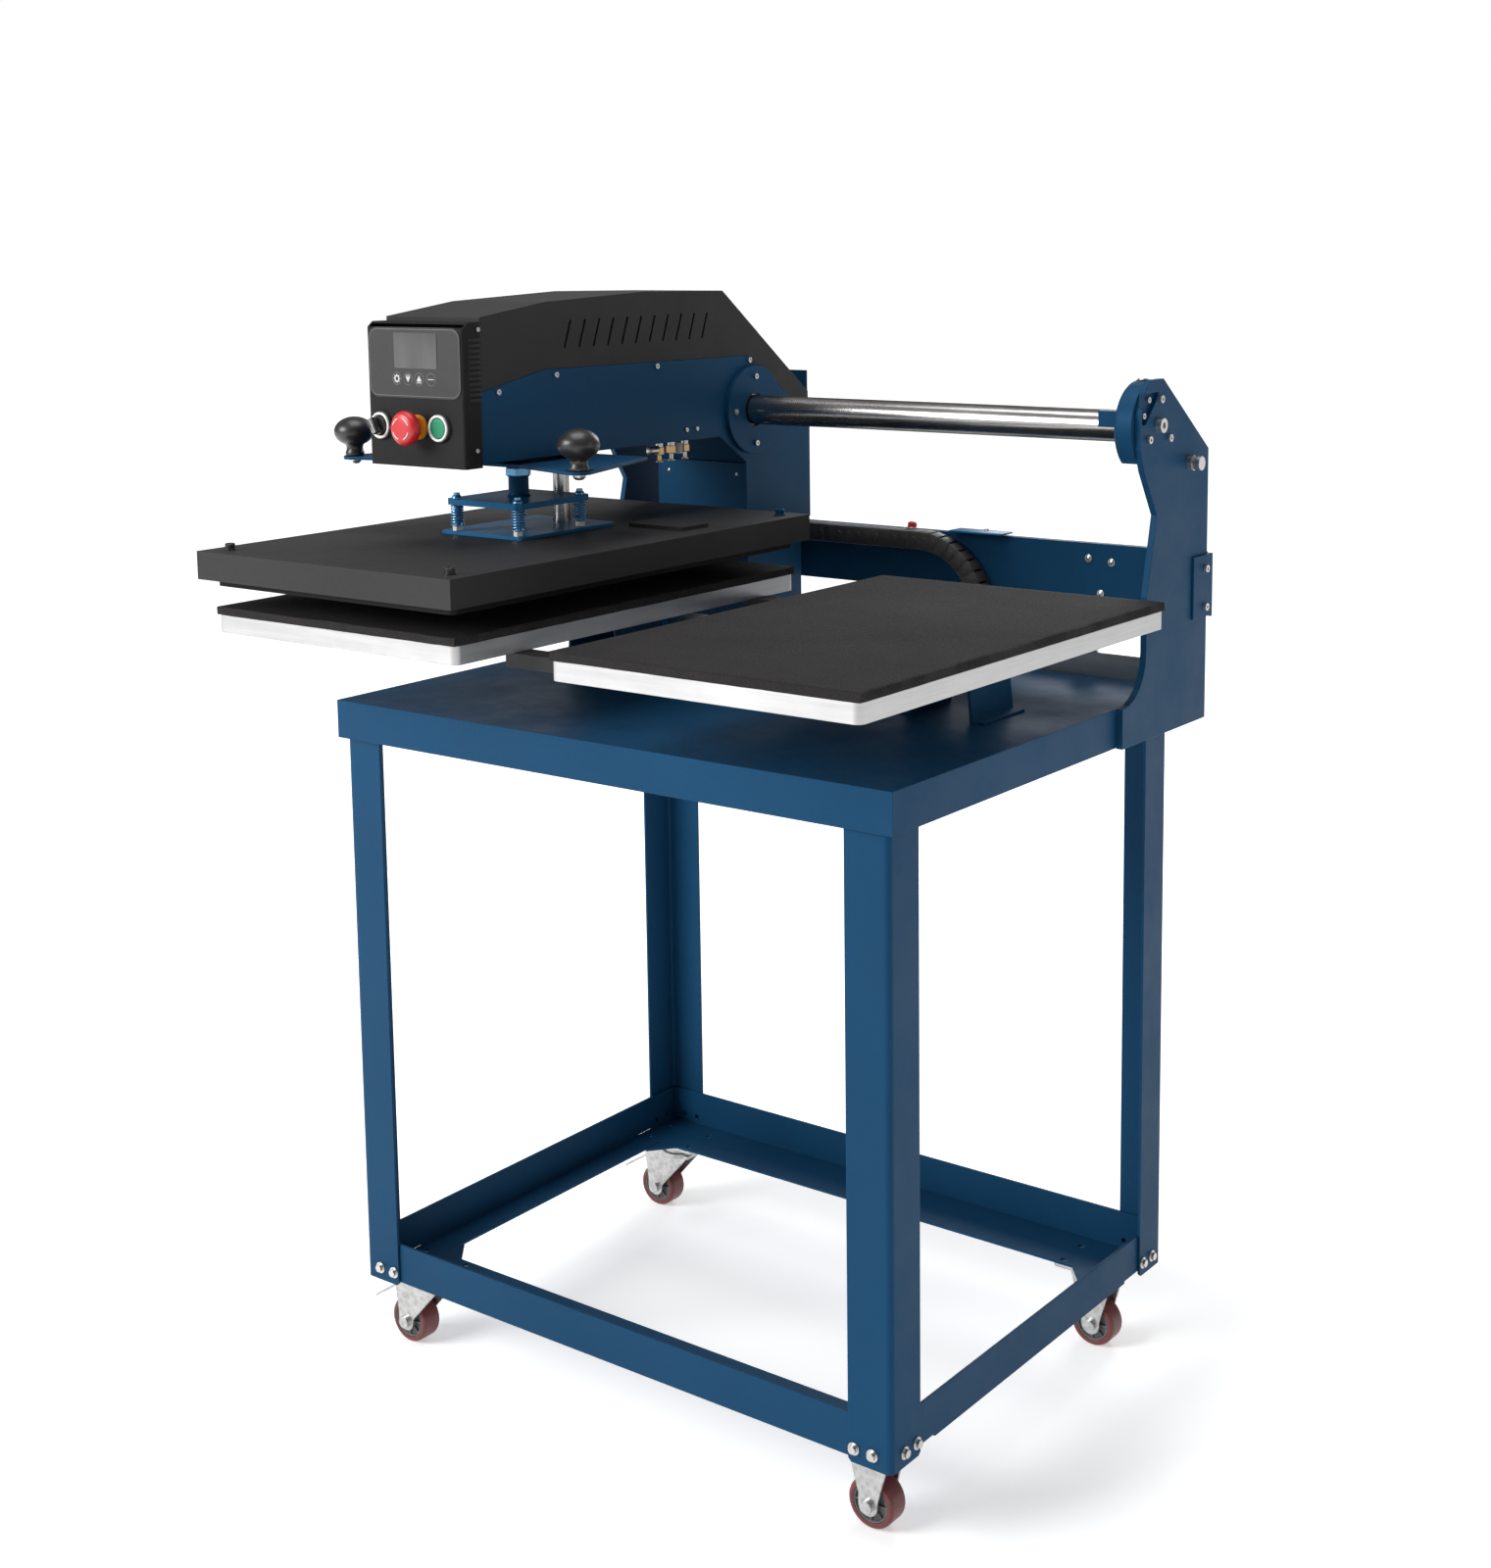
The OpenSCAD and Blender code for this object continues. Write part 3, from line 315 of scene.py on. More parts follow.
class Piece:
    """One object built in place from several simple shapes, in frame metres."""

    def __init__(self, name, body, slot, *looks):
        self.name, self.body, self.slot = name, body, slot
        self.looks = looks or (slot,)
        self.mesh = bmesh.new()

    def _stamp(self, faces, look, matrix):
        """Puts new faces in place and gives them one of the piece's looks."""
        verts = list(dict.fromkeys(v for f in faces for v in f.verts))
        if matrix is not None:
            bmesh.ops.transform(self.mesh, matrix=matrix, verts=verts)
        for face in faces:
            face.material_index = look
        return faces

    def block(self, low, high, bevel=0.0, look=0, matrix=None, steps=2):
        """A box between two corners, with rounded edges where bevel is given."""
        size = Vector(high) - Vector(low)
        made = bmesh.ops.create_cube(self.mesh, size=1)["verts"]
        bmesh.ops.scale(self.mesh, vec=size, verts=made)
        bmesh.ops.translate(self.mesh, vec=(Vector(high) + Vector(low)) / 2, verts=made)
        faces = list(dict.fromkeys(f for v in made for f in v.link_faces))
        if bevel:
            edges = list(dict.fromkeys(e for f in faces for e in f.edges))
            cut = bmesh.ops.bevel(self.mesh, geom=edges, offset=bevel, segments=steps,
                                  affect="EDGES", profile=0.5)
            kept = [f for f in faces if f.is_valid] + list(cut["faces"])
            faces = list(dict.fromkeys(f for g in kept for v in g.verts for f in v.link_faces))
        return self._stamp(faces, look, matrix)

    def lathe(self, profile, matrix, look=0, steps=40):
        """Turns (radius, height) points round the matrix's Z."""
        rings = []
        for radius, height in profile:
            if radius < 1e-7:
                rings.append([self.mesh.verts.new((0, 0, height))])
            else:
                turns = [2 * math.pi * i / steps for i in range(steps)]
                rings.append([self.mesh.verts.new((radius * math.cos(a), radius * math.sin(a),
                                                   height)) for a in turns])
        faces = []
        for low, high in zip(rings, rings[1:]):
            for i in range(steps):
                j = (i + 1) % steps
                corners = [low[i % len(low)], low[j % len(low)], high[j % len(high)],
                           high[i % len(high)]]
                faces.append(self.mesh.faces.new(list(dict.fromkeys(corners))))
        return self._stamp(faces, look, matrix)

    def prism(self, outline, height, matrix, look=0):
        """Extrudes a flat outline, in the matrix's X and Y, by height along its Z."""
        low = [self.mesh.verts.new((x, y, 0)) for x, y in outline]
        high = [self.mesh.verts.new((x, y, height)) for x, y in outline]
        faces = [self.mesh.faces.new(low[::-1]), self.mesh.faces.new(high)]
        for i in range(len(low)):
            j = (i + 1) % len(low)
            faces.append(self.mesh.faces.new((low[i], low[j], high[j], high[i])))
        return self._stamp(faces, look, matrix)

    def band(self, outer, inner, height, matrix, look=0):
        """A flat closed band between two outlines with the same number of points."""
        rows = [[self.mesh.verts.new((x, y, z)) for x, y in line]
                for line, z in ((outer, 0), (outer, height), (inner, height), (inner, 0))]
        faces = []
        for k in range(4):
            first, second = rows[k], rows[(k + 1) % 4]
            for i in range(len(first)):
                j = (i + 1) % len(first)
                faces.append(self.mesh.faces.new((first[i], first[j], second[j], second[i])))
        return self._stamp(faces, look, matrix)

    def tube(self, path, radius, look=0, sides=10):
        """A round tube along points, closed at both ends."""
        rings = []
        for i, point in enumerate(path):
            before, after = path[max(i - 1, 0)], path[min(i + 1, len(path) - 1)]
            turn = axes(point, after - before)
            rings.append([self.mesh.verts.new(turn @ Vector((
                radius * math.cos(2 * math.pi * k / sides),
                radius * math.sin(2 * math.pi * k / sides), 0))) for k in range(sides)])
        faces = [self.mesh.faces.new(rings[0][::-1]), self.mesh.faces.new(rings[-1])]
        for low, high in zip(rings, rings[1:]):
            for k in range(sides):
                m = (k + 1) % sides
                faces.append(self.mesh.faces.new((low[k], low[m], high[m], high[k])))
        return self._stamp(faces, look, None)

    def done(self, *replaced, sharp=35):
        """Makes the object, hangs it on its body and hides the nodes it stands for."""
        bmesh.ops.recalc_face_normals(self.mesh, faces=self.mesh.faces)
        data = bpy.data.meshes.new(self.name)
        self.mesh.to_mesh(data)
        self.mesh.free()
        for look in self.looks:
            data.materials.append(MAT[look])
        data.polygons.foreach_set("use_smooth", [True] * len(data.polygons))
        data.set_sharp_from_angle(angle=math.radians(sharp))
        made = bpy.data.objects.new(self.name, data)
        bpy.context.scene.collection.objects.link(made)
        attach(made, self.body)
        if replaced:
            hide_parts(*replaced)
        return made


CORNER_STEPS = 6


def mm(points):
    """Millimetre points as frame metres."""
    return [(x * MM, y * MM) for x, y in points]


def round_box(w, h, r):
    """Outline of a w by h rectangle with round corners, centred, as points."""
    points = []
    for cx, cy, start in ((w / 2 - r, h / 2 - r, 0), (r - w / 2, h / 2 - r, 90),
                          (r - w / 2, r - h / 2, 180), (w / 2 - r, r - h / 2, 270)):
        for i in range(CORNER_STEPS + 1):
            a = math.radians(start + 90 * i / CORNER_STEPS)
            points.append((cx + r * math.cos(a), cy + r * math.sin(a)))
    return points


def ring_points(r, steps=32, start=0.0, sweep=360.0):
    """Points of a circle, or of an arc with both its ends."""
    closed = sweep >= 360
    count = steps if closed else steps + 1
    return [(r * math.cos(math.radians(start + sweep * i / steps)),
             r * math.sin(math.radians(start + sweep * i / steps))) for i in range(count)]


def hexagon(across):
    """Corners of a hexagon, by its width across the flats."""
    corner = across / math.sqrt(3)
    return [(corner * math.cos(math.radians(60 * i)),
             corner * math.sin(math.radians(60 * i))) for i in range(6)]


def facing_front(x, y, z):
    """Axes at a point of the drawing whose +Z looks at the operator."""
    return axes(at(x, y, z), (0, -1, 0), (0, 0, 1))


def facing_up(x, y, z):
    """Upright axes at a point of the drawing."""
    return axes(at(x, y, z), (0, 0, 1), (0, 1, 0))


def facing_right(x, y, z):
    """Axes whose X and Y are the frame's Y and Z."""
    return axes(at(x, y, z), (1, 0, 0), (0, 0, 1))


def screw(piece, matrix, r, h, socket=True, washer=0.0, look=0):
    """Cap screw with a rounded rim and a hexagon socket, on an optional washer."""
    if washer:
        piece.lathe([(0, 0), (washer * 0.96, 0), (washer, 0.3 * MM), (washer, 1.0 * MM),
                     (washer * 0.94, 1.3 * MM), (0, 1.3 * MM)], matrix, look, 28)
    lip = min(0.25 * r, 0.6 * MM)
    if socket:
        piece.lathe([(r, 0), (r, h - lip), (r - lip, h), (r * 0.56, h), (r * 0.5, h - lip),
                     (r * 0.5, h * 0.45), (0, h * 0.45)], matrix, look, 24)
    else:
        piece.lathe([(r, 0), (r, h * 0.3), (r * 0.92, h * 0.6), (r * 0.7, h * 0.88),
                     (r * 0.35, h), (0, h)], matrix, look, 24)


# ---------------------------------------------------------------- looks of the CAD nodes

OWN_LOOK = {"control_box": "box_paint", "heater_plate": "dark_coating",
            "chain_upper_run": "chain_plastic"}
for row in frame["record"]["subparts"]:
    node = NODES[row["node"]]
    node.data.materials.clear()
    node.data.materials.append(MAT[OWN_LOOK.get(row["node"], row["material_slot"])])


# ---------------------------------------------------------------- camera, light, floor

EYE = (1587.17, -2125.02, 1377.24)
YAW, PITCH, ROLL = 37.354, 7.984, -0.783
LENS = 51.066


def camera():
    """Eye-level view from the front right, from the fitted place and turn."""
    yaw, pitch, roll = (math.radians(angle) for angle in (YAW, PITCH, ROLL))
    forward = Vector((-math.sin(yaw) * math.cos(pitch), math.cos(yaw) * math.cos(pitch),
                      -math.sin(pitch)))
    right = Vector((math.cos(yaw), math.sin(yaw), 0))
    up = right.cross(forward)
    rolled_right = right * math.cos(roll) + up * math.sin(roll)
    rolled_up = up * math.cos(roll) - right * math.sin(roll)
    data = bpy.data.cameras.new("camera")
    data.sensor_width = 36
    data.lens = LENS
    data.shift_y = -0.15
    data.clip_end = 100
    made = bpy.data.objects.new("camera", data)
    bpy.context.scene.collection.objects.link(made)
    turn = Matrix((rolled_right, rolled_up, -forward)).transposed().to_4x4()
    made.matrix_world = Matrix.Translation(at(*EYE)) @ turn
    bpy.context.scene.camera = made


def area_light(name, place, target, size, watts):
    """A soft box at place that looks at target."""
    data = bpy.data.lights.new(name, "AREA")
    data.shape = "RECTANGLE"
    data.size, data.size_y = size
    data.energy = watts
    made = bpy.data.objects.new(name, data)
    bpy.context.scene.collection.objects.link(made)
    turn = (Vector(target) - Vector(place)).to_track_quat("-Z", "Y").to_matrix().to_4x4()
    made.matrix_world = Matrix.Translation(place) @ turn


def studio():
    """White surroundings that light less than they show, and four soft boxes."""
    world = bpy.data.worlds.new("studio")
    bpy.context.scene.world = world
    world.use_nodes = True
    tree = world.node_tree
    tree.nodes.clear()
    out = tree.nodes.new("ShaderNodeOutputWorld")
    mixed = tree.nodes.new("ShaderNodeMixShader")
    ray = tree.nodes.new("ShaderNodeLightPath")
    for index, (level, strength) in enumerate(((0.95, 0.26), (1.0, 1.0))):
        back = tree.nodes.new("ShaderNodeBackground")
        back.inputs[0].default_value = (level, level, level, 1)
        back.inputs[1].default_value = strength
        tree.links.new(back.outputs[0], mixed.inputs[1 + index])
    tree.links.new(ray.outputs["Is Camera Ray"], mixed.inputs[0])
    tree.links.new(mixed.outputs[0], out.inputs[0])
    area_light("key", (-2.4, -4.0, 2.9), (0, 0, 0.8), (2.6, 2.2), 235)
    area_light("top", (-0.2, -0.2, 4.0), (0, 0, 0.9), (2.4, 2.0), 60)
    area_light("rear", (-0.8, 4.0, 2.6), (0, 0, 0.9), (2.4, 1.6), 60)
    area_light("right", (4.2, 1.2, 2.0), (0, 0, 0.8), (0.8, 2.4), 10)
    bpy.context.scene.view_settings.view_transform = "Standard"
    bpy.context.scene.view_settings.look = "None"


SWEEP_RADIUS = 30
FLOOR_DROP = 0.0006
NEAR, FAR = 0.4, 2.2


def floor():
    """White sweep that grows brighter with distance, so that it has no visible end."""
    look = Look("pale_floor", Roughness=0.8)
    look.shader.inputs["Emission Color"].default_value = (1, 1, 1, 1)
    far = look.node("VectorMath", operation="LENGTH")
    look.join(look.place, far.inputs[0])
    look.join(look.span(far.outputs["Value"], NEAR, FAR, 0.42, 0.95),
              look.shader.inputs["Emission Strength"])
    look.color(look.mix(look.noise(0.8, 3), (0.86, 0.86, 0.86), (0.9, 0.9, 0.9)))
    disc = bmesh.new()
    bmesh.ops.create_circle(disc, cap_ends=True, segments=96, radius=SWEEP_RADIUS)
    data = bpy.data.meshes.new("floor")
    disc.to_mesh(data)
    disc.free()
    data.materials.append(look.material)
    made = bpy.data.objects.new("floor", data)
    bpy.context.scene.collection.objects.link(made)
    made.location.z = -FLOOR_DROP


camera()
studio()
floor()


# ---------------------------------------------------------------- lower platens' foam pads

def foam_pad(side, seed):
    """Foam slab whose cut edge wavers a little and whose skin has faint hollows."""
    random.seed(seed)
    low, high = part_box("pad_" + side)
    piece = Piece("foam_pad_" + side, "stand", "foam")
    across, along = 48, 76
    margin = 0.6 * MM
    waves = [(random.uniform(20, 160), random.uniform(0, 6.3), random.uniform(0.08, 0.3) * MM)
             for _ in range(9)]

    def wobble(t):
        return sum(a * math.sin(t * f + p) for f, p, a in waves)

    def skin(u, v, top):
        x = low.x + margin + (high.x - low.x - 2 * margin) * u
        y = low.y + margin + (high.y - low.y - 2 * margin) * v
        edge = min(u, 1 - u, v, 1 - v)
        if edge < 1e-9:
            x += wobble(y + top) * (u in (0, 1))
            y += wobble(x + 3 + top) * (v in (0, 1))
        round_off = 0.5 * MM if edge < 1e-9 else 0
        hollow = 0.15 * MM * (1 + math.sin(x * 21 + seed) * math.sin(y * 13))
        z = high.z - round_off - hollow if top else low.z + 0.1 * MM
        return (min(max(x, low.x), high.x), min(max(y, low.y), high.y), z)

    grids = []
    for top in (1, 0):
        us = [0, 0.002] + [i / across for i in range(1, across)] + [0.998, 1]
        vs = [0, 0.0013] + [i / along for i in range(1, along)] + [0.9987, 1]
        grids.append([[piece.mesh.verts.new(skin(u, v, top)) for v in vs] for u in us])
    upper, under = grids
    for grid in grids:
        for i in range(len(grid) - 1):
            for j in range(len(grid[0]) - 1):
                piece.mesh.faces.new((grid[i][j], grid[i + 1][j], grid[i + 1][j + 1],
                                      grid[i][j + 1]))
    nu, nv = len(upper) - 1, len(upper[0]) - 1
    rim = ([(i, 0) for i in range(nu)] + [(nu, j) for j in range(nv)]
           + [(i, nv) for i in range(nu, 0, -1)] + [(0, j) for j in range(nv, 0, -1)])
    for (a, b), (c, d) in zip(rim, rim[1:] + rim[:1]):
        piece.mesh.faces.new((upper[a][b], upper[c][d], under[c][d], under[a][b]))
    made = piece.done("pad_" + side, sharp=50)


foam_pad("left", 3)
foam_pad("right", 8)


# ---------------------------------------------------------------- casters

def caster_wheel(end, side):
    """Red tyre with round shoulders on a ribbed grey hub with a bearing and axle nut."""
    low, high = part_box(f"wheel_{end}_{side}")
    body = f"roller_{end}_{side}"
    middle = (low + high) / 2
    r, half = (high.z - low.z) / 2, (high.y - low.y) / 2
    turn = axes(middle, (0, 1, 0))
    seat = r * 0.76
    curve = 4.2 * MM
    tyre = Piece(f"tyre_{end}_{side}", body, "red_urethane")
    shoulder = [(r - curve + curve * math.sin(a), half - curve + curve * math.cos(a))
                for a in [math.pi / 2 * i / 6 for i in range(7)]]
    crown = [(r, y * MM) for y in (6, 2, -2, -6)]
    profile = ([(seat, half - 0.8 * MM), (seat + 1.5 * MM, half)] + shoulder + crown
               + [(a, -b) for a, b in reversed(shoulder)]
               + [(seat + 1.5 * MM, -half), (seat, 0.8 * MM - half)])
    tyre.lathe(profile + profile[:1], turn, 0, 72)
    tyre.done(f"wheel_{end}_{side}", sharp=60)
    hub = Piece(f"hub_{end}_{side}", body, "black_plastic", "grey_hub", "zinc")
    for s in (1, -1):
        face = half * s
        hub.lathe([(seat + 0.05 * MM, face - 1.6 * MM * s), (seat - 0.8 * MM, face - 0.7 * MM * s),
                   (seat - 2 * MM, face - 1.0 * MM * s), (seat - 3 * MM, face - 4 * MM * s),
                   (10.5 * MM, face - 4.5 * MM * s), (9.5 * MM, face - 0.8 * MM * s),
                   (4.4 * MM, face - 0.6 * MM * s), (4.1 * MM, face - 5 * MM * s)], turn, 0, 48)
        for i in range(8):
            rib = turn @ Matrix.Rotation(math.radians(45 * i), 4, "Z")
            depth = sorted((face - 4.4 * MM * s, face - 1.7 * MM * s))
            hub.block((9.8 * MM, -0.9 * MM, depth[0]), (seat - 2.2 * MM, 0.9 * MM, depth[1]),
                      0.3 * MM, 0, rib, 1)
        hub.lathe([(4.1 * MM, face - 0.9 * MM * s), (8.2 * MM, face - 0.9 * MM * s),
                   (8.4 * MM, face - 0.2 * MM * s), (5.2 * MM, face + 0.1 * MM * s),
                   (4.1 * MM, face - 0.2 * MM * s)], turn, 1, 32)
    hub.done()


for end in ("front", "rear"):
    for side in ("left", "right"):
        caster_wheel(end, side)


# ---------------------------------------------------------------- cable chain

CHAIN_X, CHAIN_Z, CHAIN_R = 3, 885, 92
CHAIN_Y = (325, 349)
CHAIN_H = 24
UPPER_RUN, LOWER_RUN = 210.0, 260
BEND = math.pi * CHAIN_R
LINK = 15.0
PLATE_T, BAR_T = 2.4, 2.6


def chain_point(s):
    """Place and direction on the chain's middle line; s runs from the upper end, in mm."""
    if s < UPPER_RUN:
        return CHAIN_X - UPPER_RUN + s, CHAIN_Z + CHAIN_R, 0.0
    if s < UPPER_RUN + BEND:
        a = (s - UPPER_RUN) / CHAIN_R
        return CHAIN_X + CHAIN_R * math.sin(a), CHAIN_Z + CHAIN_R * math.cos(a), a
    return CHAIN_X - (s - UPPER_RUN - BEND), CHAIN_Z - CHAIN_R, math.pi


def chain_links():
    """Side plates, cross bars and pivots of the links, one after the other."""
    piece = Piece("chain_links", "chain_bend", "black_plastic", "chain_plastic")
    front, rear = CHAIN_Y
    half = CHAIN_H / 2 * MM
    length = 0.5 * LINK * MM
    lap, gap = 1.0 * MM, 0.6 * MM
    for i in range(int((UPPER_RUN + BEND + LOWER_RUN) / LINK)):
        x, z, a = chain_point((i + 0.5) * LINK)
        turn = Matrix.Translation(at(x, 0, z)) @ Matrix.Rotation(a, 4, "Y")
        inset = 0.5 * (i % 2) * MM
        for y0, y1, shift in ((front, front + PLATE_T, inset), (rear - PLATE_T, rear, -inset)):
            piece.block((-length - lap, y0 * MM + shift, -half + 0.3 * MM),
                        (length + lap, y1 * MM + shift, half - 0.3 * MM), 1.2 * MM, 0, turn)
        for low in (half - BAR_T * MM, -half):
            piece.block((-length + gap, front * MM + 1 * MM, low),
                        (length - gap, rear * MM - 1 * MM, low + BAR_T * MM),
                        0.9 * MM, 0, turn)
        pivot = turn @ Matrix.Translation((0, front * MM + 0.5 * MM, 0))
        pivot = pivot @ Matrix.Rotation(math.pi / 2, 4, "X")
        piece.lathe(mm([(4.6, -0.4), (4.6, 0.5), (4.2, 0.8), (0, 0.8)]), pivot, 0, 20)
    piece.done("chain_loop")


chain_links()


# ---------------------------------------------------------------- slide bar

def polished_bar():
    """The round bar with a small chamfer at each end."""
    low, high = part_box("slide_bar")
    r = (high.z - low.z) / 2
    start = Vector((low.x, (low.y + high.y) / 2, (low.z + high.z) / 2))
    piece = Piece("polished_bar", "stand", "chrome_bar")
    length = high.x - low.x
    chamfer = 1 * MM
    piece.lathe([(0, 0), (r - chamfer, 0), (r, chamfer), (r, length - chamfer),
                 (r - chamfer, length), (0, length)], axes(start, (1, 0, 0)), 0, 96)
    piece.done("slide_bar")


polished_bar()


# ---------------------------------------------------------------- ram: springs and rod

ARM_X = -260
PRESS_X, PRESS_Y = ARM_X, -157
FLOAT_X = (-308, -208)
FLOAT_Y = (-215, -105)
COVER_BOLT_X = (-437, -82)
COVER_BOLT_Y = (-457, 135)
COVER_TOP = 1026.1
STUD_FOOT, NUT_FOOT, WASHER_FOOT, DOME_FOOT = 1030.2, 1030.4, 1036.9, 1069.7
SPRING_Z = (1038.4, 1061.4)
SPRING_R, SPRING_WIRE, SPRING_TURNS = 6.9, 1.15, 7
STEPS_PER_TURN = 16


def spring_path(x, y):
    """Helix of a spring round a stud, in frame metres."""
    low, high = SPRING_Z
    count = SPRING_TURNS * STEPS_PER_TURN
    turn = 2 * math.pi / STEPS_PER_TURN
    return [at(x + SPRING_R * math.cos(turn * i), y + SPRING_R * math.sin(turn * i),
               low + (high - low) * i / count) for i in range(count + 1)]


def ram_fasteners():
    """Springs, studs, nuts and dome bolts of the float plate, and the bolts of the cover."""
    piece = Piece("ram_fasteners", "ram", "screws", "blued_zinc", "gloss_black", "bright_ring",
                  "blue_paint")
    blued, black, bright, blue = 0, 1, 2, 3
    for x in FLOAT_X:
        for y in FLOAT_Y:
            piece.tube(spring_path(x, y), SPRING_WIRE * MM, blued, 8)
            piece.lathe(mm([(4, 0), (4, 46)]), facing_up(x, y, STUD_FOOT), blued, 20)
            piece.prism(mm(hexagon(10.4)), 6.4 * MM, facing_up(x, y, NUT_FOOT), bright)
            piece.lathe(mm([(8.2, 0), (8.4, 0.4), (8.2, 0.9), (4, 0.9)]),
                        facing_up(x, y, WASHER_FOOT), blued, 28)
            piece.lathe(mm([(6.2, 0), (6.2, 0.9), (5.5, 2.6), (4.0, 4.0), (2.0, 4.7), (0, 4.8)]),
                        facing_up(x, y, DOME_FOOT), blued, 32)
    for x in COVER_BOLT_X:
        for y in COVER_BOLT_Y:
            look = blue if x > ARM_X and y > 0 else black
            place = facing_up(x, y, COVER_TOP)
            piece.lathe(mm([(7.5, 0), (7.5, 1.3), (5.9, 1.5)]), place, look, 32)
            piece.lathe(mm([(5.9, 1.4), (5.9, 6.9), (5.1, 7.8), (3.2, 8), (3.0, 5), (0, 5)]),
                        place, look, 32)
    piece.done("ram_bolts")


def ram_rod():
    """Rod with its flared foot, chamfered lock nut, and the piston inside the cylinder."""
    rod = Piece("ram_rod", "ram", "light_blue_paint", "blue_paint", "blued_zinc", "chrome_bar")
    paint, blued, chrome = 0, 1, 2
    stem = facing_up(PRESS_X, PRESS_Y, 0)
    quarter = [math.pi / 2 * k / 5 for k in range(6)]
    flare = [(15.5 - 3.1 * math.sin(a), 1069.6 + 6 * (1 - math.cos(a))) for a in quarter]
    rod.lathe(mm(flare + [(12.4, 1093), (11.8, 1093.6), (10, 1093.6)]), stem, paint, 48)
    rod.prism(mm(hexagon(27.6)), 8.6 * MM, facing_up(PRESS_X, PRESS_Y, 1095.2), blued)
    rod.lathe(mm([(11, 1093.5), (13.8, 1093.6), (14.6, 1095.2)]), stem, blued, 48)
    rod.lathe(mm([(14.6, 1103.8), (13.8, 1105.4), (10, 1105.5)]), stem, blued, 48)
    rod.lathe(mm([(10, 1105), (10, 1194), (0, 1194)]), stem, chrome, 40)
    rod.lathe(mm([(10, 1176), (44.8, 1176), (44.8, 1192), (10, 1192)]), stem, chrome, 64)
    rod.done("piston_rod")


ram_fasteners()
ram_rod()


# ---------------------------------------------------------------- handles

HANDLE_SPREAD, HANDLE_Y = 183, -252
BULB_R, BULB_HALF, BULB_Z = 24.5, 18, 1148


def ball_handles():
    """Glossy flattened bulbs on waisted necks, with a cap nut under the wing plate."""
    knobs = Piece("ball_handles", "carriage", "gloss_black", "gloss_black", "screws")
    bulb = [(BULB_R * math.cos(math.radians(a)), BULB_Z + BULB_HALF * math.sin(math.radians(a)))
            for a in range(90, -61, -6)]
    neck = [(10.9, 1131.2), (10.2, 1129.4), (10.0, 1127.2), (10.3, 1125.0), (11.0, 1123.4),
            (11.5, 1122.2), (11.5, 1119.6), (11.0, 1118.6)]
    cap_nut = [(7.6, 1113.9), (7.6, 1111.6), (6.8, 1110), (4.5, 1108), (0, 1107.2)]
    for side in (-1, 1):
        place = axes(at(ARM_X + HANDLE_SPREAD * side, HANDLE_Y, 0), (0, 0, 1))
        knobs.lathe(mm(bulb + neck), place, 0, 64)
        knobs.lathe(mm(cap_nut), place, 1, 24)
    knobs.done("handle_knobs", sharp=50)


ball_handles()


# ---------------------------------------------------------------- control box

PANEL_Y = (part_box("control_box")[0].y - STAND_Y) / MM
BUTTON_Z = 1166
SELECTOR_X, STOP_X, START_X = -315.5, -256, -221
FILM_X, FILM_Z = -259.5, 1239.5
DISPLAY_X, DISPLAY_Z = -257.5, 1253.5
KEY_X = (-288, -270, -252, -233)
KEY_Z = 1221
FILM_T, PRINT_T, OUTLINE_T = 0.9 * MM, 0.16 * MM, 0.14 * MM


def rectangle(x0, x1, y0, y1):
    """Corners in frame metres of a rectangle given in millimetres."""
    return mm([(x0, y0), (x1, y0), (x1, y1), (x0, y1)])


def control_face():
    """Membrane with its printed outline, the display, and the signs of four round keys."""
    piece = Piece("membrane", "carriage", "panel_film", "panel_film", "grey_print", "display",
                  "white_print")
    film, grey, display, white = 0, 1, 2, 3
    lift = PANEL_Y - 0.9
    piece.prism(mm(round_box(147, 81, 13)), FILM_T, facing_front(FILM_X, PANEL_Y, FILM_Z), film)
    piece.band(mm(round_box(145, 77, 12)), mm(round_box(143.8, 75.8, 11.4)), OUTLINE_T,
               facing_front(FILM_X, lift, FILM_Z), grey)
    window = facing_front(DISPLAY_X, lift, DISPLAY_Z)
    piece.prism(mm(round_box(69, 41, 1.2)), PRINT_T, window, display)
    piece.band(mm(round_box(70.4, 42.4, 1.8)), mm(round_box(69, 41, 1.2)), 0.3 * MM, window,
               film)
    keys = [facing_front(x, lift, KEY_Z) for x in KEY_X]
    for key in keys:
        piece.band(mm(ring_points(7.4)), mm(ring_points(6.9)), OUTLINE_T, key, grey)
    cog, down, up, dash = keys
    piece.band(mm(ring_points(4.0)), mm(ring_points(2.4)), PRINT_T, cog, white)
    for i in range(8):
        tooth = cog @ Matrix.Rotation(math.radians(45 * i), 4, "Z")
        piece.prism(mm([(3.6, -0.8), (5.2, -0.6), (5.2, 0.6), (3.6, 0.8)]), 0.15 * MM, tooth,
                    white)
    piece.prism(mm([(0, -4.2), (4.0, 2.6), (-4.0, 2.6)]), PRINT_T, down, white)
    piece.prism(rectangle(-3.6, 3.6, 3.6, 4.6), PRINT_T, down, white)
    piece.prism(mm([(-4.0, -2.6), (4.0, -2.6), (0, 4.2)]), PRINT_T, up, white)
    piece.prism(rectangle(-3.6, 3.6, -4.6, -3.6), PRINT_T, up, white)
    piece.prism(rectangle(-4.6, 4.6, -0.45, 0.45), PRINT_T, dash, white)
    piece.done("control_panel")


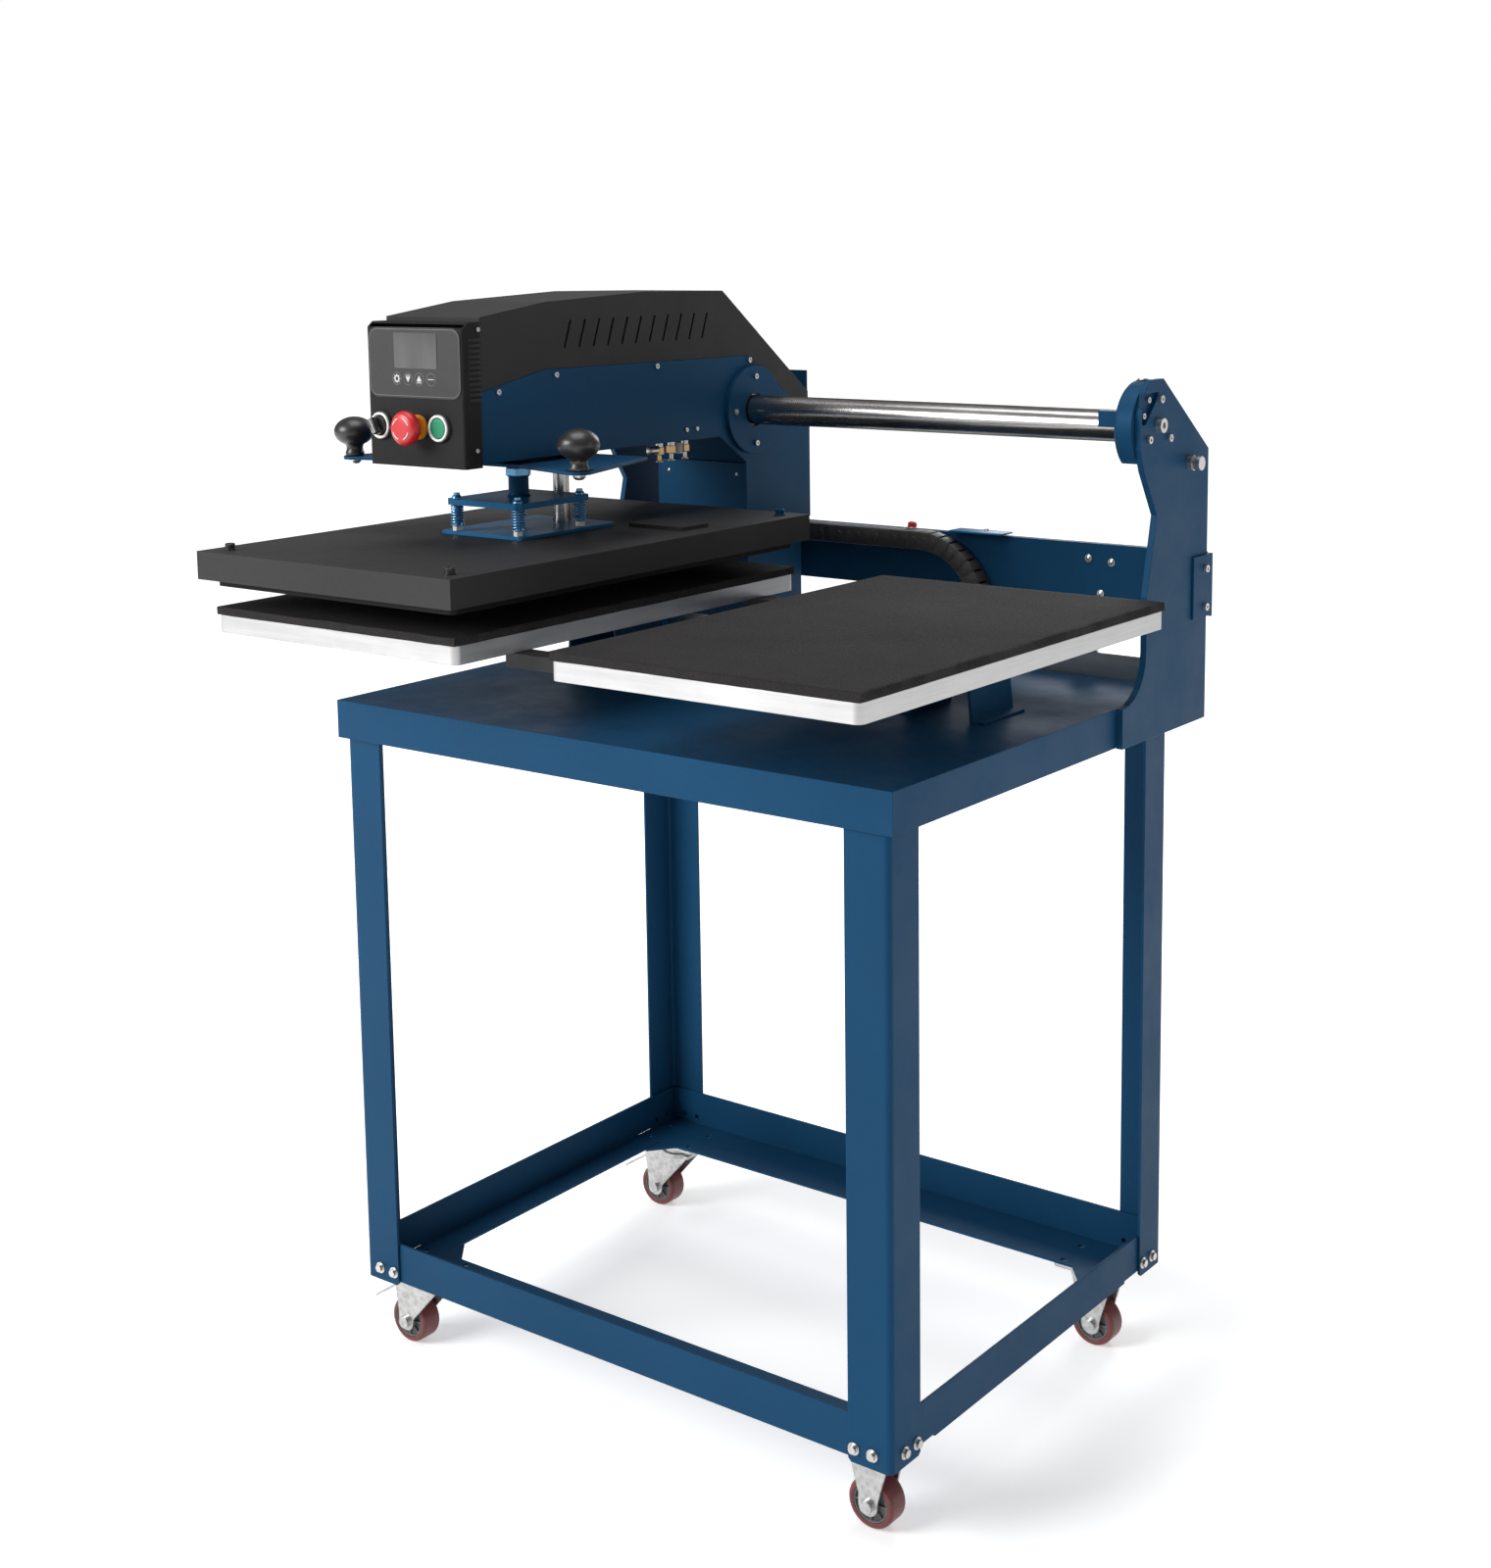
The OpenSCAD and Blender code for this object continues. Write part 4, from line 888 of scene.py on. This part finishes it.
def bezels():
    """Black collars with bright rings, and the yellow collar behind the stop button."""
    rings = Piece("bezels", "carriage", "black_plastic", "black_plastic", "bright_ring",
                  "yellow_plastic")
    black, bright, yellow = 0, 1, 2
    for x in (SELECTOR_X, START_X):
        place = facing_front(x, PANEL_Y, BUTTON_Z)
        rings.lathe(mm([(17, 0), (17, 2.4), (16.2, 3.8), (15.2, 4.2), (11.9, 4.2), (11.9, 0)]),
                    place, black, 56)
        rings.lathe(mm([(15.3, 4.0), (15.3, 4.9), (14.6, 5.8), (13.2, 5.9), (12.3, 5.2),
                        (12.0, 3.9)]), place, bright, 56)
    rings.lathe(mm([(14.4, 0), (14.4, 3.0), (13.6, 5.2), (10.8, 5.8), (9.4, 5.8)]),
                facing_front(STOP_X, PANEL_Y, BUTTON_Z), yellow, 56)
    rings.done()


def emergency_stop():
    """Red mushroom on a yellow stem, with four white arcs on its domed face."""
    cap = Piece("stop_mushroom", "estop", "red_plastic", "red_plastic", "white_print",
                "yellow_plastic")
    red, white, yellow = 0, 1, 2
    place = facing_front(STOP_X, PANEL_Y, BUTTON_Z)
    face = facing_front(STOP_X, PANEL_Y - 28.7, BUTTON_Z)
    cap.lathe(mm([(8.8, -6), (8.8, 10), (12.4, 11.8)]), place, yellow, 64)
    cap.lathe(mm([(12.4, 11.8), (16.4, 13.4), (18.9, 16.2), (19.8, 19.4), (20, 22.4),
                  (19.2, 25.2), (17.4, 27.4), (15, 28.6), (11.5, 29.4), (6, 29.8),
                  (0, 29.9)]), place, red, 64)
    for start in (20, 110, 200, 290):
        outer = ring_points(13.3, 12, start, 52)
        inner = ring_points(11.7, 12, start, 52)
        cap.prism(mm(outer + inner[::-1]), 0.9 * MM, face, white)
    cap.done("estop_button", sharp=40)


def start_button():
    """Green cap, slightly dished, on its plunger."""
    cap = Piece("start_cap", "start_button", "green_plastic")
    cap.lathe(mm([(9.4, -6), (9.4, 3.4), (11.4, 3.4), (11.4, 4.4), (10.8, 5.0), (10, 5.2),
                  (5, 5.0), (0, 4.9)]), facing_front(START_X, PANEL_Y, BUTTON_Z), 0, 48)
    cap.done("press_button", sharp=45)


def selector():
    """Short lever knob with a white pointer line, turned a little to the left."""
    knob = Piece("selector_lever", "selector", "black_plastic", "gloss_black", "white_print")
    place = facing_front(SELECTOR_X, PANEL_Y, BUTTON_Z)
    knob.lathe(mm([(9.4, -6), (9.4, 3), (11.2, 3.2), (11.2, 6), (10.2, 7), (0, 7.2)]), place,
               0, 48)
    lean = place @ Matrix.Rotation(math.radians(30), 4, "Z")
    knob.block((-3.9 * MM, -9.9 * MM, 6.4 * MM), (3.9 * MM, 9.9 * MM, 16.9 * MM), 1.6 * MM, 0,
               lean, 3)
    knob.block((-0.8 * MM, -8.6 * MM, 16.5 * MM), (0.8 * MM, 8.6 * MM, 17.0 * MM), 0.2 * MM, 1,
               lean, 1)
    knob.done("selector_knob")


def box_ribs():
    """Twelve ribs on each side of the box."""
    ribs = Piece("box_ribs", "carriage", "black_paint")
    for x in (-182.5, -337.5):
        for i in range(12):
            z = 1196 + 6.2 * i
            ribs.block(at(x - 0.6, -316, z), at(x + 0.6, -297, z + 3.1), 0.5 * MM, 0)
    ribs.done()


control_face()
bezels()
emergency_stop()
start_button()
selector()
box_ribs()


# ---------------------------------------------------------------- under the arm

FITTING_X, FITTING_Y = -215, 58
UNDERSIDE = [(146, 1122), (201.5, 1082.2), (203.5, 1084.5), (148, 1125)]
SHEET_HALF = 71.5


def air_fittings():
    """Three brass elbows with their screws, a pale valve and a hose coupling."""
    fit = Piece("air_fittings", "carriage", "screws", "screws", "brass", "white_print")
    steel, brass, pale = 0, 1, 2
    for i, y in enumerate((FITTING_Y, FITTING_Y + 24, FITTING_Y + 52)):
        fit.prism(mm(hexagon(12)), 9 * MM, facing_up(FITTING_X, y, 1104), brass)
        fit.lathe(mm([(4.6, 0), (4.6, 14), (3.6, 15)]), facing_up(FITTING_X, y, 1111), steel, 20)
        fit.lathe(mm([(0, 0), (2.4, 0.6), (2.4, 8), (1.6, 9)]), facing_up(FITTING_X, y, 1095),
                  steel if i else brass, 16)
        fit.lathe(mm([(0, 0), (4.6, 0.4), (4.6, 1.8), (0, 2.2)]), facing_up(FITTING_X, y, 1093.6),
                  brass, 20)
    fit.lathe(mm([(5.8, 0), (5.8, 12), (4.6, 14)]),
              facing_up(FITTING_X, FITTING_Y + 38, 1102), pale, 24)
    fit.lathe(mm([(4.4, 0), (5.2, 1), (5.2, 16), (3.4, 17), (0, 17)]),
              axes(at(FITTING_X, FITTING_Y - 4, 1110), (0, -1, 0)), steel, 24)
    fit.done()


def arm_underside():
    """Sloping sheet between the arm's underside and the column's front, with two rivets."""
    sheet = Piece("arm_underside", "carriage", "blue_paint", "blue_paint", "screws")
    sheet.prism(mm(UNDERSIDE), 2 * SHEET_HALF * MM, facing_right(ARM_X - SHEET_HALF, 0, 0), 0)
    for x in (ARM_X - 56, ARM_X + 59):
        screw(sheet, facing_front(x, 200.8, 1066), 2.4 * MM, 1.2 * MM, look=1, socket=False)
    sheet.done()


air_fittings()
arm_underside()


# ---------------------------------------------------------------- rear beam and clamps

CAP_X, CAP_Y, CAP_Z = -25, 355.4, 988


def beam_details():
    """Small tray, red cap, three bolts of the web, and the end stop of the rail."""
    tray = Piece("beam_tray", "stand", "light_blue_paint", "light_blue_paint", "screws")
    tray.block(at(45, 334, 990.5), at(125, 364, 993), 0.8 * MM, 0)
    screw(tray, facing_up(90, 356, 993), 3.4 * MM, 2.4 * MM, look=1)
    tray.done()
    cap = Piece("beam_lamp", "stand", "red_plastic", "red_plastic", "screws")
    cap.lathe(mm([(6.2, 0), (6.2, 4.5), (5.4, 6.4), (3, 7.4), (0, 7.6)]),
              facing_up(CAP_X, CAP_Y, CAP_Z + 2), 0, 24)
    cap.lathe(mm([(8, 0), (8, 1.8), (6.2, 2.4)]), facing_up(CAP_X, CAP_Y, CAP_Z), 1, 24)
    cap.done()
    bolts = Piece("beam_bolts", "stand", "screws")
    for x, z in ((242.5, 968.7), (275, 965.5), (260, 924.7)):
        screw(bolts, facing_front(x, 352, z), 3.6 * MM, 2.6 * MM, socket=False, washer=5 * MM)
    bolts.done()
    stop = Piece("rail_stop", "stand", "black_plastic")
    stop.block(at(250, 296, 860.2), at(280, 312, 872), 1.5 * MM, 0)
    stop.done()


def clamp_bolts():
    """Bolt with its washer in the top of each bar clamp."""
    piece = Piece("clamp_bolts", "stand", "screws", "screws", "black_plastic")
    for x in (-388, 388):
        place = facing_up(x, 212, 1205)
        piece.lathe(mm([(8, 0), (8, 1.7), (6.8, 1.9)]), place, 1, 32)
        piece.lathe(mm([(6.6, 0), (6.6, 2.8), (5.8, 3.5), (3.4, 3.5), (3.2, 1.5), (0, 1.5)]),
                    place, 0, 32)
    piece.done()


beam_details()
clamp_bolts()
